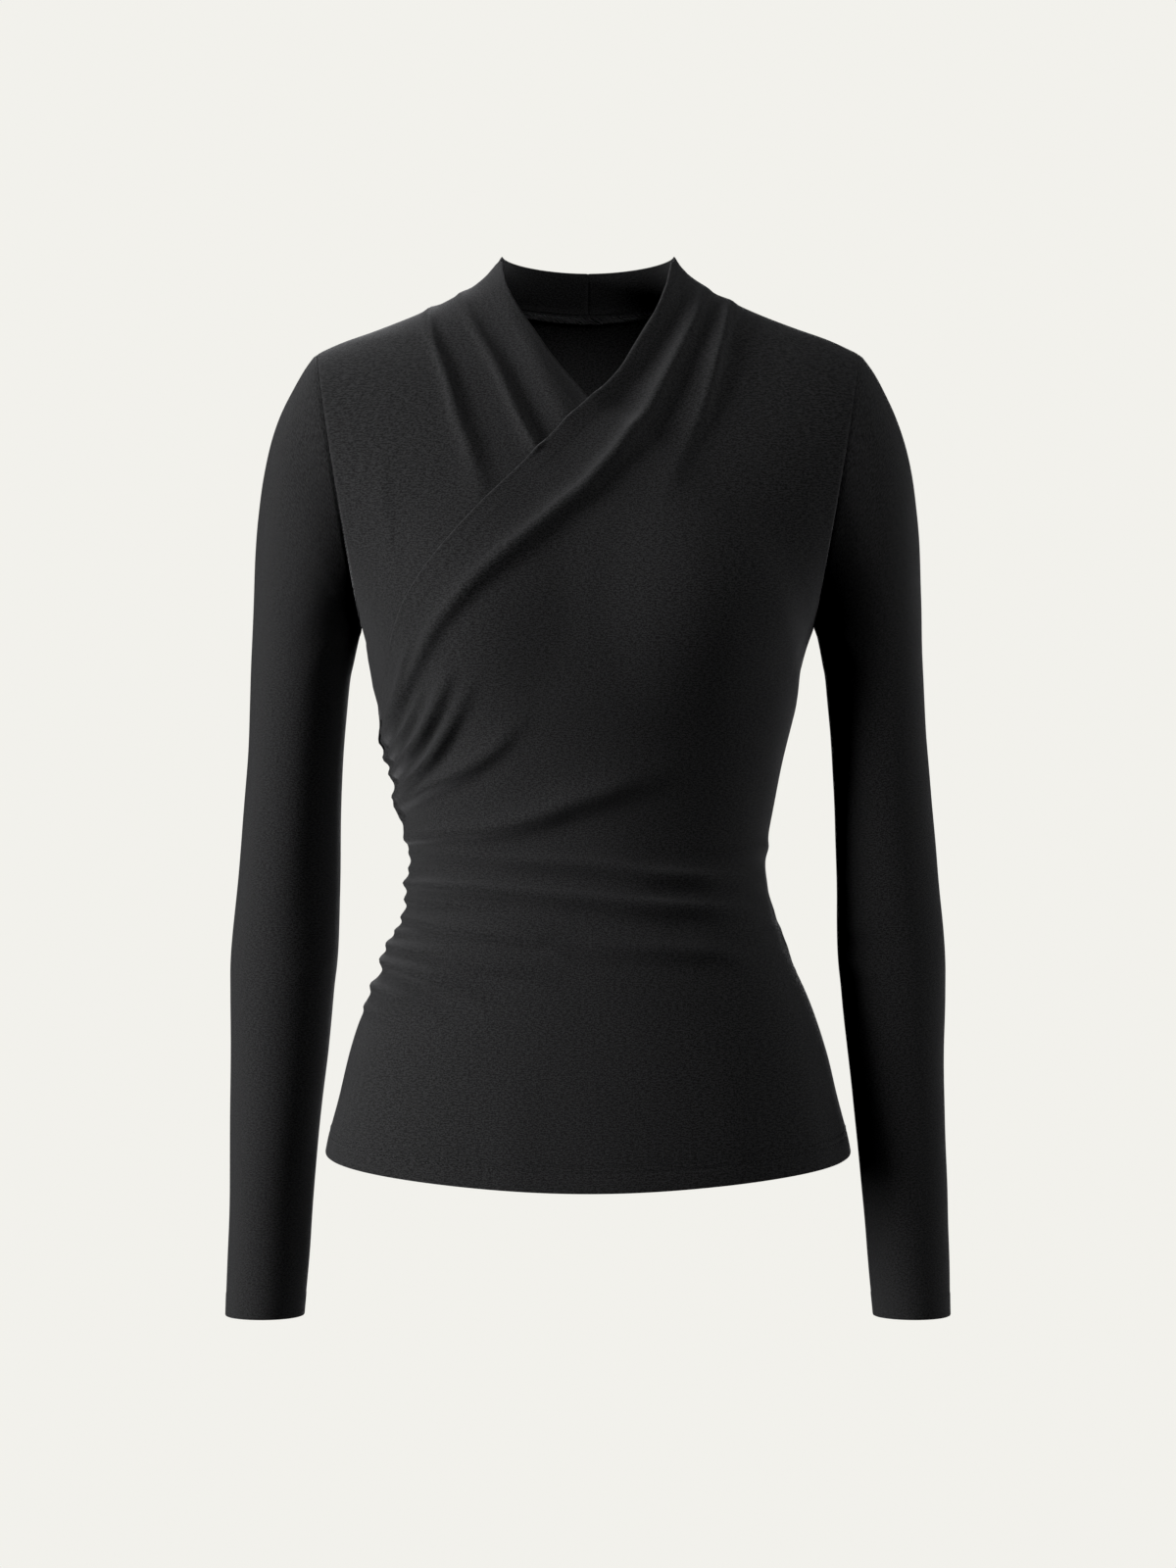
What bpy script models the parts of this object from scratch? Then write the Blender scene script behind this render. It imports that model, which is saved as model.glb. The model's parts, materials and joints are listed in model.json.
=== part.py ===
"""A long-sleeved wrap top in fine black jersey, filled out as it is worn, with nobody in it.

The two fronts cross: the wearer's left front lies over the right one, its edge runs from the neck to the
right side seam, and it is gathered into that seam. Each front is cut in one with half of a standing collar,
and the halves meet at the centre back. The back and two set-in sleeves complete it.

Frame: the origin lies between the neck ends of the shoulder seams, at the base of the neck. +Z is up, +X
points to the wearer's left, and the front faces -Y. All sizes below are millimetres and degrees.

Each piece is a sheet of points on the form, which is given by its turn round the body from the centre front,
positive to the wearer's left, and by its height. The sheet is then given the thickness of the cloth.
"""

import math

import bpy
import numpy as np

MM = 0.001

# ---------------------------------------------------------------- driving sizes

WALL = 1.1  # thickness of the jersey
SEAM_GAP = 0.3  # left between two pieces that are sewn together
LAYER = 2.5  # from the middle of the under front to the middle of the over front on top of it
LAYER_CLEAR = 1.1  # least room between the two where the under front has a fold
LAYER_RAMP = 34.0  # stretch over which the over front comes down to the body beside the under front
BACK_LIFT = 1.2  # below the armholes the back stands out halfway up the two fronts

COLLAR_CORNER = 19.0  # height at which the collar's upper edge leaves the front edge
COLLAR_TOP = 23.5  # its height at the side of the neck
COLLAR_TOP_BACK = 19.0  # and at the centre back
NECK_SEAM_BACK = -10.0  # height of the seam between back and collar at the centre back
WRAP_END = -276.0  # height at which each front's edge runs into the other side's seam
BEND_FROM = -478.0  # above this height the rows of cloth are level; below it they bend to the hem
HEM_SIDE = -558.0  # height of the hem at the side seams
HEM_DROP_FRONT = 19.0  # how much lower the hem is at the centre front
HEM_DROP_BACK = 15.0  # and at the centre back
HEM_ROUND = 0.8  # how the drop spreads to the sides: less is rounder
UNDER_HEM_SHORTER = 4.0  # the under front's hem is hidden behind the over front's

SHOULDER_X, SHOULDER_Z = 176.5, -40.0  # top of the armhole
UNDERARM_X, UNDERARM_Z = 146.5, -219.0  # foot of the armhole
ARMHOLE_FRONT = 56.0  # how far the armhole reaches in front of the side seam's plane
ARMHOLE_BACK = 52.0  # and behind it
SLEEVE_CLEAR = 0.7  # the sleeve's edge lies this far outside the armhole at the shoulder
UNDERARM_CLEAR = 1.8  # and this far outside it at the underarm, where the two walls fold together

# The ridge of the shoulder, on which the shoulder seam and the side of the collar lie.
SHOULDER_LINE = (
    # height, half_width
    (-40.0, 176.5),
    (-31.0, 157.0),
    (-24.0, 136.5),
    (-16.0, 115.5),
    (-7.0, 95.5),
    (0.0, 81.5),
    (8.0, 70.0),
    (16.0, 61.2),
    (24.0, 55.4),
)

# The side seam, along the inner layer of cloth.
SIDE_LINE = (
    # height, half_width
    (-219.0, 146.5),
    (-224.0, 144.6),
    (-231.0, 142.1),
    (-243.0, 138.8),
    (-262.0, 134.3),
    (-282.0, 129.4),
    (-301.0, 124.5),
    (-320.0, 120.5),
    (-339.0, 116.8),
    (-358.0, 113.6),
    (-373.0, 112.8),
    (-387.0, 114.1),
    (-406.0, 118.6),
    (-435.0, 130.1),
    (-464.0, 142.3),
    (-493.0, 151.9),
    (-522.0, 158.9),
    (-550.0, 166.0),
    (-582.0, 172.0),
)

# How far the cloth stands from the side seam's plane at the centre front and the centre back, and the
# roundness of the section: 2 is an ellipse, and more is squarer.
PROFILE = (
    # height, front, back, roundness
    (-582.0, 112.0, 107.0, 2.10),
    (-522.0, 106.0, 109.0, 2.12),
    (-464.0, 97.0, 98.0, 2.12),
    (-406.0, 86.0, 80.0, 2.10),
    (-373.0, 82.0, 74.0, 2.10),
    (-339.0, 84.0, 76.0, 2.12),
    (-301.0, 91.0, 82.0, 2.18),
    (-262.0, 100.0, 89.0, 2.25),
    (-224.0, 106.0, 95.0, 2.30),
    (-190.0, 106.0, 98.0, 2.30),
    (-160.0, 102.0, 99.0, 2.26),
    (-120.0, 92.0, 98.0, 2.20),
    (-88.0, 80.0, 94.0, 2.12),
    (-57.0, 64.5, 86.0, 2.05),
    (-29.0, 47.5, 73.0, 2.00),
    (-10.0, 39.5, 62.0, 2.00),
    (0.0, 35.0, 60.0, 2.00),
    (24.0, 20.0, 57.0, 2.00),
)

# The cut shapes the chest softly: one low mound a side.
BUST_TURN, BUST_Z = 37.0, -205.0
BUST_RISE = 9.0
BUST_WIDE, BUST_TALL = 33.0, 85.0

# The crossing edges. Both run on, over or under the other front, to the side seam.
EDGES = (
    # height, over_x, under_x
    (24.0, 55.0, -55.2),
    (12.0, 52.3, -54.5),
    (-2.0, 49.0, -51.0),
    (-16.0, 43.7, -43.7),
    (-29.0, 36.6, -35.0),
    (-43.0, 29.0, -25.8),
    (-57.0, 20.5, -14.5),
    (-68.0, 10.5, -5.0),
    (-77.0, 0.6, 2.5),
    (-88.0, -11.8, 13.0),
    (-101.0, -24.5, 25.5),
    (-125.0, -49.0, 50.0),
    (-150.0, -73.7, 74.5),
    (-179.0, -98.6, 99.5),
    (-203.0, -114.6, 115.0),
    (-223.0, -122.6, 123.0),
    (-245.0, -127.2, 127.5),
    (-260.0, -131.0, 131.0),
    (-268.0, -131.6, 131.6),
    (-276.0, -131.4, 131.4),
)

# ---------------------------------------------------------------- folds

# A ridge in the cloth: its rise, its width on the left and on the right of a path that is listed from its
# upper end, the shares of its length over which it grows and dies away, and the path, which is seen from
# the front as distance to the wearer's left of the centre, and height. A path ends past a side seam where
# the ridge runs into it.
UNDER_FOLDS = (
    # name, rise, left, right, start, end, (x, z) points
    ("shoulder pleat", 3.2, 8, 5.5, 0.12, 0.35, ((-105, -12), (-102, -33), (-89, -76), (-76, -115), (-69, -138))),
    ("neck pleat", 3.8, 9, 5.5, 0.12, 0.2, ((-83, -3), (-80, -19), (-63, -57), (-45, -89), (-37, -106), (-22, -132))),
    ("collar roll", 2.8, 11, 9, 0.35, 0.3, ((-62, 8), (-56, -10), (-47, -27), (-35, -50), (-22, -70), (-8, -90))),
)
OVER_FOLDS = (
    # name, rise, left, right, start, end, (x, z) points
    ("collar roll", 2.6, 8, 8, 0.3, 0.4, ((58, 8), (53, -8), (45, -25), (24, -58), (0, -85), (-20, -103), (-50, -132))),
    (
        "main drape", 8.0, 15, 8.5, 0.12, 0.25,
        ((73, 0), (69, -16), (55, -50), (37, -80), (22, -106), (-3, -128), (-34, -155), (-62, -180), (-87, -204),
         (-103, -228), (-114, -252)),
    ),
    ("shoulder pleat", 3.2, 9, 5.5, 0.12, 0.35, ((92, -6), (87, -33), (76, -73), (62, -112), (53, -134))),
    ("gather 1", 3.0, 6, 6, 0.4, 0.0, ((-110, -261), (-114, -276), (-120, -292), (-130, -306))),
    ("gather 2", 4.0, 6, 7, 0.4, 0.0, ((-97, -258), (-102, -270), (-108, -285), (-114, -298), (-130, -319))),
    ("gather 3", 4.0, 7, 7, 0.4, 0.0, ((-81, -264), (-94, -286), (-110, -311), (-130, -333))),
    ("gather 4", 4.0, 8, 7, 0.4, 0.0, ((-53, -286), (-69, -308), (-94, -320), (-107, -327), (-130, -346))),
    ("gather 5", 3.6, 13, 9, 0.5, 0.1, ((58, -300), (22, -315), (-22, -338), (-60, -350), (-100, -356), (-130, -367))),
    ("waist fold 1", 1.7, 7, 7, 0.4, 0.0, ((110, -383), (50, -375), (0, -368), (-60, -371), (-130, -381))),
    ("waist fold 2", 1.6, 6, 6, 0.4, 0.0, ((94, -399), (50, -395), (0, -394), (-75, -393), (-130, -395))),
    ("waist fold 3", 1.8, 6, 6, 0.5, 0.0, ((60, -436), (0, -432), (-56, -422), (-94, -417), (-130, -411))),
    ("waist fold 4", 1.5, 6, 7, 0.5, 0.0, ((-40, -462), (-75, -457), (-107, -450), (-140, -440))),
)

# ---------------------------------------------------------------- sleeves

# Each row is one ring of a sleeve: its points furthest from the body and nearest to it, its depth to the
# front and to the back, and how far back its middle lies.
SLEEVE_RINGS = (
    # outer_z, outer_x, inner_z, inner_x, front, back, middle
    (-40.0, 176.5, -219.0, 146.5, 56.0, 52.0, 0.0),
    (-51.0, 184.6, -219.9, 147.2, 55.6, 51.8, 0.0),
    (-64.0, 192.0, -220.7, 147.6, 55.2, 51.6, 0.0),
    (-80.0, 199.6, -221.6, 147.9, 54.6, 51.4, 0.0),
    (-99.0, 206.0, -222.7, 148.3, 53.6, 51.0, 0.0),
    (-122.0, 211.0, -224.2, 148.8, 52.2, 50.4, 0.5),
    (-147.0, 214.0, -226.4, 149.3, 50.6, 49.6, 1.0),
    (-172.0, 215.8, -229.6, 150.0, 48.8, 48.8, 1.5),
    (-198.0, 216.8, -234.4, 151.0, 47.2, 48.0, 2.0),
    (-222.0, 217.5, -241.4, 152.4, 46.0, 47.0, 2.5),
    (-244.0, 218.2, -251.0, 154.4, 45.0, 46.0, 3.0),
    (-268.0, 219.0, -268.0, 156.2, 44.0, 45.0, 4.0),
    (-301.0, 220.7, -301.0, 159.2, 43.0, 44.0, 5.5),
    (-339.0, 224.0, -339.0, 160.8, 42.0, 43.0, 7.0),
    (-378.0, 227.6, -378.0, 161.6, 41.0, 42.5, 7.5),
    (-416.0, 231.0, -416.0, 161.9, 40.0, 41.5, 6.0),
    (-437.0, 232.1, -437.0, 162.6, 39.5, 40.5, 4.0),
    (-456.0, 231.8, -456.0, 164.5, 39.0, 39.5, 1.5),
    (-493.0, 231.0, -493.0, 168.0, 37.5, 38.0, -3.0),
    (-531.0, 231.0, -531.0, 172.3, 35.5, 36.0, -7.5),
    (-589.0, 231.7, -589.0, 178.0, 32.5, 33.0, -13.5),
    (-627.0, 232.9, -627.0, 180.4, 31.0, 31.5, -16.5),
    (-663.5, 233.9, -663.5, 183.6, 30.0, 30.5, -19.0),
)

# ---------------------------------------------------------------- how finely the cloth is divided

ARMHOLE_STEPS_FRONT = 22
ARMHOLE_STEPS_BACK = 10
SHOULDER_ROWS = 4
COLLAR_ROWS = 3
COLLAR_STEPS_BACK = 6  # from the side of the neck to the centre back
HEM_ROWS = 4
ROW_SAMPLES = 160  # points at which a row is measured before it is divided
PATH_SAMPLES = 8  # points of a fold's path for each one in its table
SETTLING_ROUNDS = 12  # that find the turn of a point seen from the front, on the mounds of the chest too
CLOSEST_STEP = 3.0  # no two points of a row are closer
KEEP_STEPS = 0.9  # a row has as many steps as the one before it where that is no further from fitting
FOOT = 1.5  # a fold's foot is this many of its widths from its crest
SEAM_TURN = 12.0  # within this many degrees of a side or shoulder seam, the wall's edge turns square to it
FOLLOW_FOLDS = 3.0  # rows are joined as if folds stood out this much further, so that crests meet crests
BACK_STEP = 20.0  # length of a step along a row of the back
SLEEVE_SIDES = 20  # below the sleeve's first ring, which follows the body's points
SHARP = 50.0  # edges that turn more than this are the wall's own edges

# Length of a step along a row of cloth, from the crossing edge (near) to the far side.
OVER_STEPS = (
    # height, near, far
    (24.0, 9.0, 9.0),
    (-60.0, 9.0, 13.0),
    (-190.0, 9.0, 17.0),
    (-300.0, 8.0, 24.0),
    (-400.0, 10.0, 26.0),
    (-582.0, 20.0, 24.0),
)
UNDER_STEPS = (
    # height, near, far
    (24.0, 10.0, 10.0),
    (-60.0, 10.0, 13.0),
    (-190.0, 16.0, 16.0),
    (-300.0, 22.0, 22.0),
    (-582.0, 26.0, 26.0),
)

# Heights between the rows below the armholes.
OVER_ROWS = (
    # from, to, rows
    (-219.0, -276.0, 8),
    (-276.0, -360.0, 12),
    (-360.0, -420.0, 8),
    (-420.0, -478.0, 6),
)
PLAIN_ROWS = (
    # from, to, rows
    (-219.0, -276.0, 4),
    (-276.0, -478.0, 10),
)


# ---------------------------------------------------------------- curves through tables


def along(table, column, at):
    """The smooth curve through one column of a table, against its first, at any heights."""
    rows = sorted(table)
    x = np.array([row[0] for row in rows])
    y = np.array([row[column] for row in rows])
    slope = np.gradient(y, x)
    at = np.clip(np.asarray(at, float), x[0], x[-1])
    i = np.clip(np.searchsorted(x, at) - 1, 0, len(x) - 2)
    step = x[i + 1] - x[i]
    t = (at - x[i]) / step
    ends = (2 * t**3 - 3 * t**2 + 1) * y[i] + (3 * t**2 - 2 * t**3) * y[i + 1]
    slopes = (t**3 - 2 * t**2 + t) * slope[i] + (t**3 - t**2) * slope[i + 1]
    return ends + step * slopes


def ease(t):
    """0 up to t = 0, 1 from t = 1 on, and smooth between."""
    t = np.clip(t, 0.0, 1.0)
    return t * t * (3 - 2 * t)


def unit(v):
    return v / np.maximum(np.linalg.norm(v, axis=-1, keepdims=True), 1e-12)


# ---------------------------------------------------------------- the form


def armhole(z, depth):
    """(half width, distance from the side seam's plane) of the armhole's edge at a height."""
    up = np.clip((z - UNDERARM_Z) / (SHOULDER_Z - UNDERARM_Z), 0.0, 1.0)
    x = UNDERARM_X + (SHOULDER_X - UNDERARM_X) * up
    return x, depth * np.sqrt(np.clip(1 - (2 * up - 1) ** 2, 0.0, 1.0))


def section(turn, z):
    """(reach, half width, roundness) of the form's level section, in front or behind as the turn says.

    Beside an armhole the section is wider than the cloth, so that the cloth's edge lies on it.
    """
    ahead = np.cos(turn) >= 0
    reach = np.where(ahead, along(PROFILE, 1, z), along(PROFILE, 2, z))
    roundness = along(PROFILE, 3, z)
    x, y = armhole(z, np.where(ahead, ARMHOLE_FRONT, ARMHOLE_BACK))
    beside_armhole = x / (1 - (y / reach) ** roundness) ** (1 / roundness)
    elsewhere = np.where(z >= SHOULDER_Z, along(SHOULDER_LINE, 1, z), along(SIDE_LINE, 1, z))
    width = np.where((z < SHOULDER_Z) & (z > UNDERARM_Z), beside_armhole, elsewhere)
    return reach, width, roundness


def form(turn, z):
    """The point of the form at a turn from the centre front and a height."""
    reach, width, n = section(turn, z)
    side, ahead = np.abs(np.sin(turn)), np.abs(np.cos(turn))
    radius = ((side / width) ** n + (ahead / reach) ** n) ** (-1 / n)
    off_turn = (np.abs(np.degrees(turn)) - BUST_TURN) / BUST_WIDE
    off_z = (z - BUST_Z) / BUST_TALL
    radius = radius + BUST_RISE * ease(1 - np.hypot(off_turn, off_z))
    return np.stack([radius * np.sin(turn), -radius * np.cos(turn), z + 0 * turn], -1)


def facing(surface, turn, z):
    """The outward direction of a surface given as a function of turn and height."""
    small_turn, small_z = 2e-3, 0.1
    around = surface(turn + small_turn, z) - surface(turn - small_turn, z)
    upward = surface(turn, z + small_z) - surface(turn, z - small_z)
    return unit(np.cross(around, upward))


def turn_at(x, z):
    """The turn at which the front of the form is at a distance x from the centre."""
    x = x + 0.0 * z
    reach, width, n = section(0.0 * x, z)
    share = np.clip(np.abs(x) / width, 0.0, 1.0)
    turn = np.arctan2(np.abs(x), reach * (1 - share**n) ** (1 / n))
    for _ in range(SETTLING_ROUNDS):
        radius = np.hypot(*np.moveaxis(form(turn, z)[..., :2], -1, 0))
        turn = np.where(share < 1, np.arcsin(np.clip(np.abs(x) / radius, 0.0, 1.0)), turn)
    return np.sign(x) * turn


def round_body(turn, z):
    """Distance round the body from the centre front, near enough to measure a fold's width with."""
    reach, width, _ = section(turn, z)
    return turn * (reach + width) / 2


# ---------------------------------------------------------------- folds and layers


def fold_path(points):
    """A smooth curve through a fold's points, as turns and heights."""
    knots = [(float(i), x, level) for i, (x, level) in enumerate(points)]
    t = np.linspace(0, len(points) - 1, PATH_SAMPLES * len(points))
    level = along(knots, 2, t)
    return turn_at(along(knots, 1, t), level), level


def fold_rise(folds, turn, z):
    """How far a table of folds lifts the cloth at each point."""
    place = form(turn, z)
    outward = np.stack([np.sin(turn), -np.cos(turn), 0 * turn], -1)
    rise = np.zeros(place.shape[:-1])
    for _name, height, left, right, start, end, points in folds:
        path = form(*fold_path(points))
        best = np.full(rise.shape, np.inf)
        share, side = np.zeros(rise.shape), np.zeros(rise.shape)
        for i, (a, b) in enumerate(zip(path, path[1:])):
            step = b - a
            t = np.clip(((place - a) @ step) / (step @ step), 0.0, 1.0)
            away = place - (a + t[..., None] * step)
            distance = np.linalg.norm(away, axis=-1)
            closer = distance < best
            best = np.where(closer, distance, best)
            share = np.where(closer, (i + t) / (len(path) - 1), share)
            side = np.where(closer, np.sum(np.cross(step, away) * outward, axis=-1), side)
        width = np.where(side > 0, right, left)
        length = ease(share / start if start else 1.0) * ease((1 - share) / end if end else 1.0)
        rise += height * length * np.exp(-((best / width) ** 2))
    return rise


def fold_marks(folds, level):
    """Turns of the crests of the folds that cross a level row, and then of their feet."""
    crests, feet = [], []
    for _name, _height, left, right, _start, _end, points in folds:
        turn, z = fold_path(points)
        if z.min() < level < z.max():
            crest = float(np.interp(level, z[::-1], turn[::-1]))
            millimetre = FOOT / float(round_body(1.0, np.array(level)))
            crests.append(crest)
            feet += [crest - left * millimetre, crest + right * millimetre]
    return crests + feet


def edge_turn(z, column):
    """The turn of a crossing edge at a height: column 1 is the over front's and column 2 the under front's."""
    side = -math.pi / 2 if column == 1 else math.pi / 2
    return np.where(z > WRAP_END, turn_at(along(EDGES, column, z), z), side)


def over_lift(turn, z):
    """How far the over front stands off the form: a layer where the under front is beneath it."""
    beyond = round_body(turn, z) - round_body(edge_turn(z, 2), z)
    return LAYER * ease(1 - (beyond - WALL) / LAYER_RAMP)


def under_cloth(turn, z):
    rise = fold_rise(UNDER_FOLDS, turn, z)
    return form(turn, z) + rise[..., None] * facing(form, turn, z)


def over_cloth(turn, z):
    """The over front has its own folds, and rests on the under front's."""
    lift = over_lift(turn, z)
    resting = lift - LAYER + WALL + LAYER_CLEAR + fold_rise(UNDER_FOLDS, turn, z)
    rise = np.maximum(lift + fold_rise(OVER_FOLDS, turn, z), resting)
    return form(turn, z) + rise[..., None] * facing(form, turn, z)


def back_cloth(turn, z):
    rise = BACK_LIFT * ease((UNDERARM_Z - z) / (UNDERARM_Z - WRAP_END))
    return form(turn, z) + rise[..., None] * facing(form, turn, z)


# ---------------------------------------------------------------- rows of a piece


def level_at(level):
    """A level row's height, as a function of turn."""
    return lambda turn: level + 0 * turn


def hem_at(share, shorter=0.0):
    """Height of a row between the last level one (share 0) and the hem (share 1), as a function of turn."""

    def height(turn):
        drop = np.where(np.cos(turn) > 0, HEM_DROP_FRONT, HEM_DROP_BACK) * np.abs(np.cos(turn)) ** HEM_ROUND
        return BEND_FROM + share * (HEM_SIDE - drop + shorter - BEND_FROM)

    return height


def spread(start, end, height_at, near, far, marks=(), before=0):
    """Turns from start to end along a row, whose steps grow from near to far, and the number of its steps.

    The row before it had that many steps too where they still about fit, so that close rows match. Each mark
    replaces the turns that are close to it.
    """
    turns = np.linspace(start, end, ROW_SAMPLES)
    lengths = np.linalg.norm(np.diff(form(turns, height_at(turns)), axis=0), axis=1)
    walked = np.concatenate([[0.0], np.cumsum(lengths)])
    middle = (near + far) / 2
    fitting = walked[-1] / middle
    steps = before if abs(fitting - before) < KEEP_STEPS else max(2, round(fitting))
    t = np.linspace(0, 1, steps + 1)
    share = (near * t + (far - near) * t * t / 2) / middle
    stops = share * walked[-1]
    kept = [0.0, walked[-1]]
    for mark in np.interp([m for m in marks if start < m < end], turns, walked):
        if min(abs(mark - other) for other in kept) > CLOSEST_STEP:
            kept.append(mark)
    between = [stop for stop in stops[1:-1] if min(abs(stop - other) for other in kept) > near / 2]
    return np.interp(sorted(kept + between), walked, turns), steps


def armhole_bends(steps):
    """Angles round half an armhole, from its foot to its top: halfway between even angles and even heights."""
    even = np.linspace(0, 1, steps + 1)
    return (math.pi * even + np.arccos(1 - 2 * even)) / 2


def armhole_heights(steps):
    """Heights of the rows that end on an armhole."""
    return UNDERARM_Z + (SHOULDER_Z - UNDERARM_Z) * (1 - np.cos(armhole_bends(steps))) / 2


def heights_below(table):
    """Heights of the level rows below the armholes, from the lowest one up to the underarm."""
    levels = [UNDERARM_Z]
    for top, bottom, rows in table:
        levels += list(np.linspace(top, bottom, rows + 1)[1:])
    return levels[::-1]


def neck_seam(turn):
    return NECK_SEAM_BACK * ease((np.abs(turn) - math.pi / 2) / (math.pi / 2))


def far_end(z):
    """Turn at which a front ends on its own side: at the armhole, or else at the shoulder or side seam."""
    x, y = armhole(z, ARMHOLE_FRONT)
    beside = (z < SHOULDER_Z) & (z > UNDERARM_Z)
    return np.where(beside, np.arctan2(x, y), math.pi / 2)


def front_rows(column, folds, steps, row_table, shorter):
    """The rows of a front as if it were the wearer's left one: those of its body, then those of its collar.

    The first row of the collar begins with the last row of the body, and the number of points that they
    share is returned too.
    """
    sign = 1 if column == 1 else -1
    before = 0

    def row(height_at, level):
        nonlocal before
        start = sign * float(edge_turn(np.array(level), column))
        near, far = float(along(steps, 1, level)), float(along(steps, 2, level))
        marks = [sign * mark for mark in fold_marks(folds, level)]
        turns, before = spread(start, float(far_end(np.array(level))), height_at, near, far, marks, before)
        return np.stack([turns, height_at(turns)], -1)

    def collar_at(share, start):
        """A row of the collar, from the front edge round to the centre back."""
        rise = COLLAR_TOP - COLLAR_CORNER
        fall = COLLAR_TOP - COLLAR_TOP_BACK

        def height(turn):
            climb = ease((turn - start) / (math.pi / 2 - start)) * rise
            behind = ease((turn - math.pi / 2) / (math.pi / 2)) * fall
            top = np.where(turn < math.pi / 2, COLLAR_CORNER + climb, COLLAR_TOP - behind)
            return neck_seam(turn) + share * (top - neck_seam(turn))

        return height

    body = [row(hem_at(share, shorter), BEND_FROM) for share in np.linspace(1, 0, HEM_ROWS + 1)[:-1]]
    body += [row(level_at(level), level) for level in heights_below(row_table)[:-1]]
    body += [row(level_at(level), level) for level in armhole_heights(ARMHOLE_STEPS_FRONT)]
    body += [row(level_at(level), level) for level in np.linspace(SHOULDER_Z, 0, SHOULDER_ROWS + 1)[1:]]
    collar = []
    for share in np.linspace(0, 1, COLLAR_ROWS + 1):
        start = sign * float(edge_turn(np.array(share * COLLAR_CORNER), column))
        height = collar_at(share, start)
        near, far = float(along(steps, 1, 0.0)), float(along(steps, 2, 0.0))
        turns, _ = spread(start, math.pi / 2, height, near, far)
        ahead = np.stack([turns, height(turns)], -1) if share else body[-1]
        turns = np.linspace(math.pi / 2, math.pi, COLLAR_STEPS_BACK + 1)[1:]
        lift = SEAM_GAP / 2 if share == 0 else 0.0
        collar.append(np.concatenate([ahead, np.stack([turns, height(turns) + lift], -1)]))
    return body, collar, len(body[-1])


def back_rows():
    """The rows of the back, from the wearer's left side to the right."""

    before = 0

    def row(height_at, half):
        nonlocal before
        first_half, before = spread(half, math.pi, height_at, BACK_STEP, BACK_STEP, before=before)
        turns = np.concatenate([first_half, 2 * math.pi - first_half[-2::-1]])
        return np.stack([turns, height_at(turns)], -1)

    def shoulder_at(share):
        level = SHOULDER_Z * (1 - share)
        return lambda turn: level + share * neck_seam(np.minimum(turn, 2 * math.pi - turn))

    rows = [row(hem_at(share), math.pi / 2) for share in np.linspace(1, 0, HEM_ROWS + 1)[:-1]]
    rows += [row(level_at(level), math.pi / 2) for level in heights_below(PLAIN_ROWS)[:-1]]
    for level in armhole_heights(ARMHOLE_STEPS_BACK):
        x, y = armhole(np.array(level), ARMHOLE_BACK)
        rows.append(row(level_at(level), math.pi - float(np.arctan2(x, y))))
    rows += [row(shoulder_at(share), math.pi / 2) for share in np.linspace(0, 1, SHOULDER_ROWS + 1)[1:-1]]
    turns = np.linspace(math.pi / 2, 3 * math.pi / 2, 2 * COLLAR_STEPS_BACK + 1)
    top = shoulder_at(1.0)(turns) - SEAM_GAP / 2
    rows.append(np.stack([turns, top], -1))
    return rows


# ---------------------------------------------------------------- meshes


def zip_rows(guide, below, above):
    """Triangles between two rows of point numbers, each the shorter way across."""
    triangles = []
    i = j = 0
    while i < len(below) - 1 or j < len(above) - 1:
        step_below = step_above = math.inf
        if i < len(below) - 1:
            step_below = np.linalg.norm(guide[below[i + 1]] - guide[above[j]])
        if j < len(above) - 1:
            step_above = np.linalg.norm(guide[below[i]] - guide[above[j + 1]])
        if step_below <= step_above:
            triangles.append((below[i], below[i + 1], above[j]))
            i += 1
        else:
            triangles.append((below[i], above[j + 1], above[j]))
            j += 1
    return triangles


def cloth_solid(name, points, normals, triangles, material):
    """A closed wall on both sides of a sheet of triangles, as an object."""
    count = len(points)
    vertices = np.concatenate([points + normals * WALL / 2, points - normals * WALL / 2])
    edges = {(a, b) for t in triangles for a, b in zip(t, t[1:] + t[:1])}
    faces = list(triangles)
    faces += [(c + count, b + count, a + count) for a, b, c in triangles]
    faces += [(b, a, a + count, b + count) for a, b in sorted(edges) if (b, a) not in edges]
    mesh = bpy.data.meshes.new(name)
    mesh.from_pydata((vertices * MM).tolist(), [], faces)
    mesh.materials.append(material)
    mesh.shade_smooth()
    mesh.set_sharp_from_angle(angle=math.radians(SHARP))
    piece = bpy.data.objects.new(name, mesh)
    bpy.context.scene.collection.objects.link(piece)
    return piece


def sheet_of(rows, surface, shift, mirrored=False):
    """Points and normals of all rows of a piece, the points to join the rows by, and the rows' numbers."""
    places = np.concatenate(rows)
    turn, z = places[:, 0], places[:, 1]
    if mirrored:
        turn = -turn
    off_seam = ease(np.abs(np.abs(np.degrees(turn)) - 90.0) / SEAM_TURN)[:, None]
    normals = unit(facing(surface, turn, z) * off_seam + facing(form, turn, z) * (1 - off_seam))
    starts = np.cumsum([0] + [len(row) for row in rows])
    numbers = [list(range(a, b)) for a, b in zip(starts, starts[1:])]
    points = surface(turn, z)
    guide = points + FOLLOW_FOLDS * (points - form(turn, z))
    return points + np.array(shift), normals, guide, numbers


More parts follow.
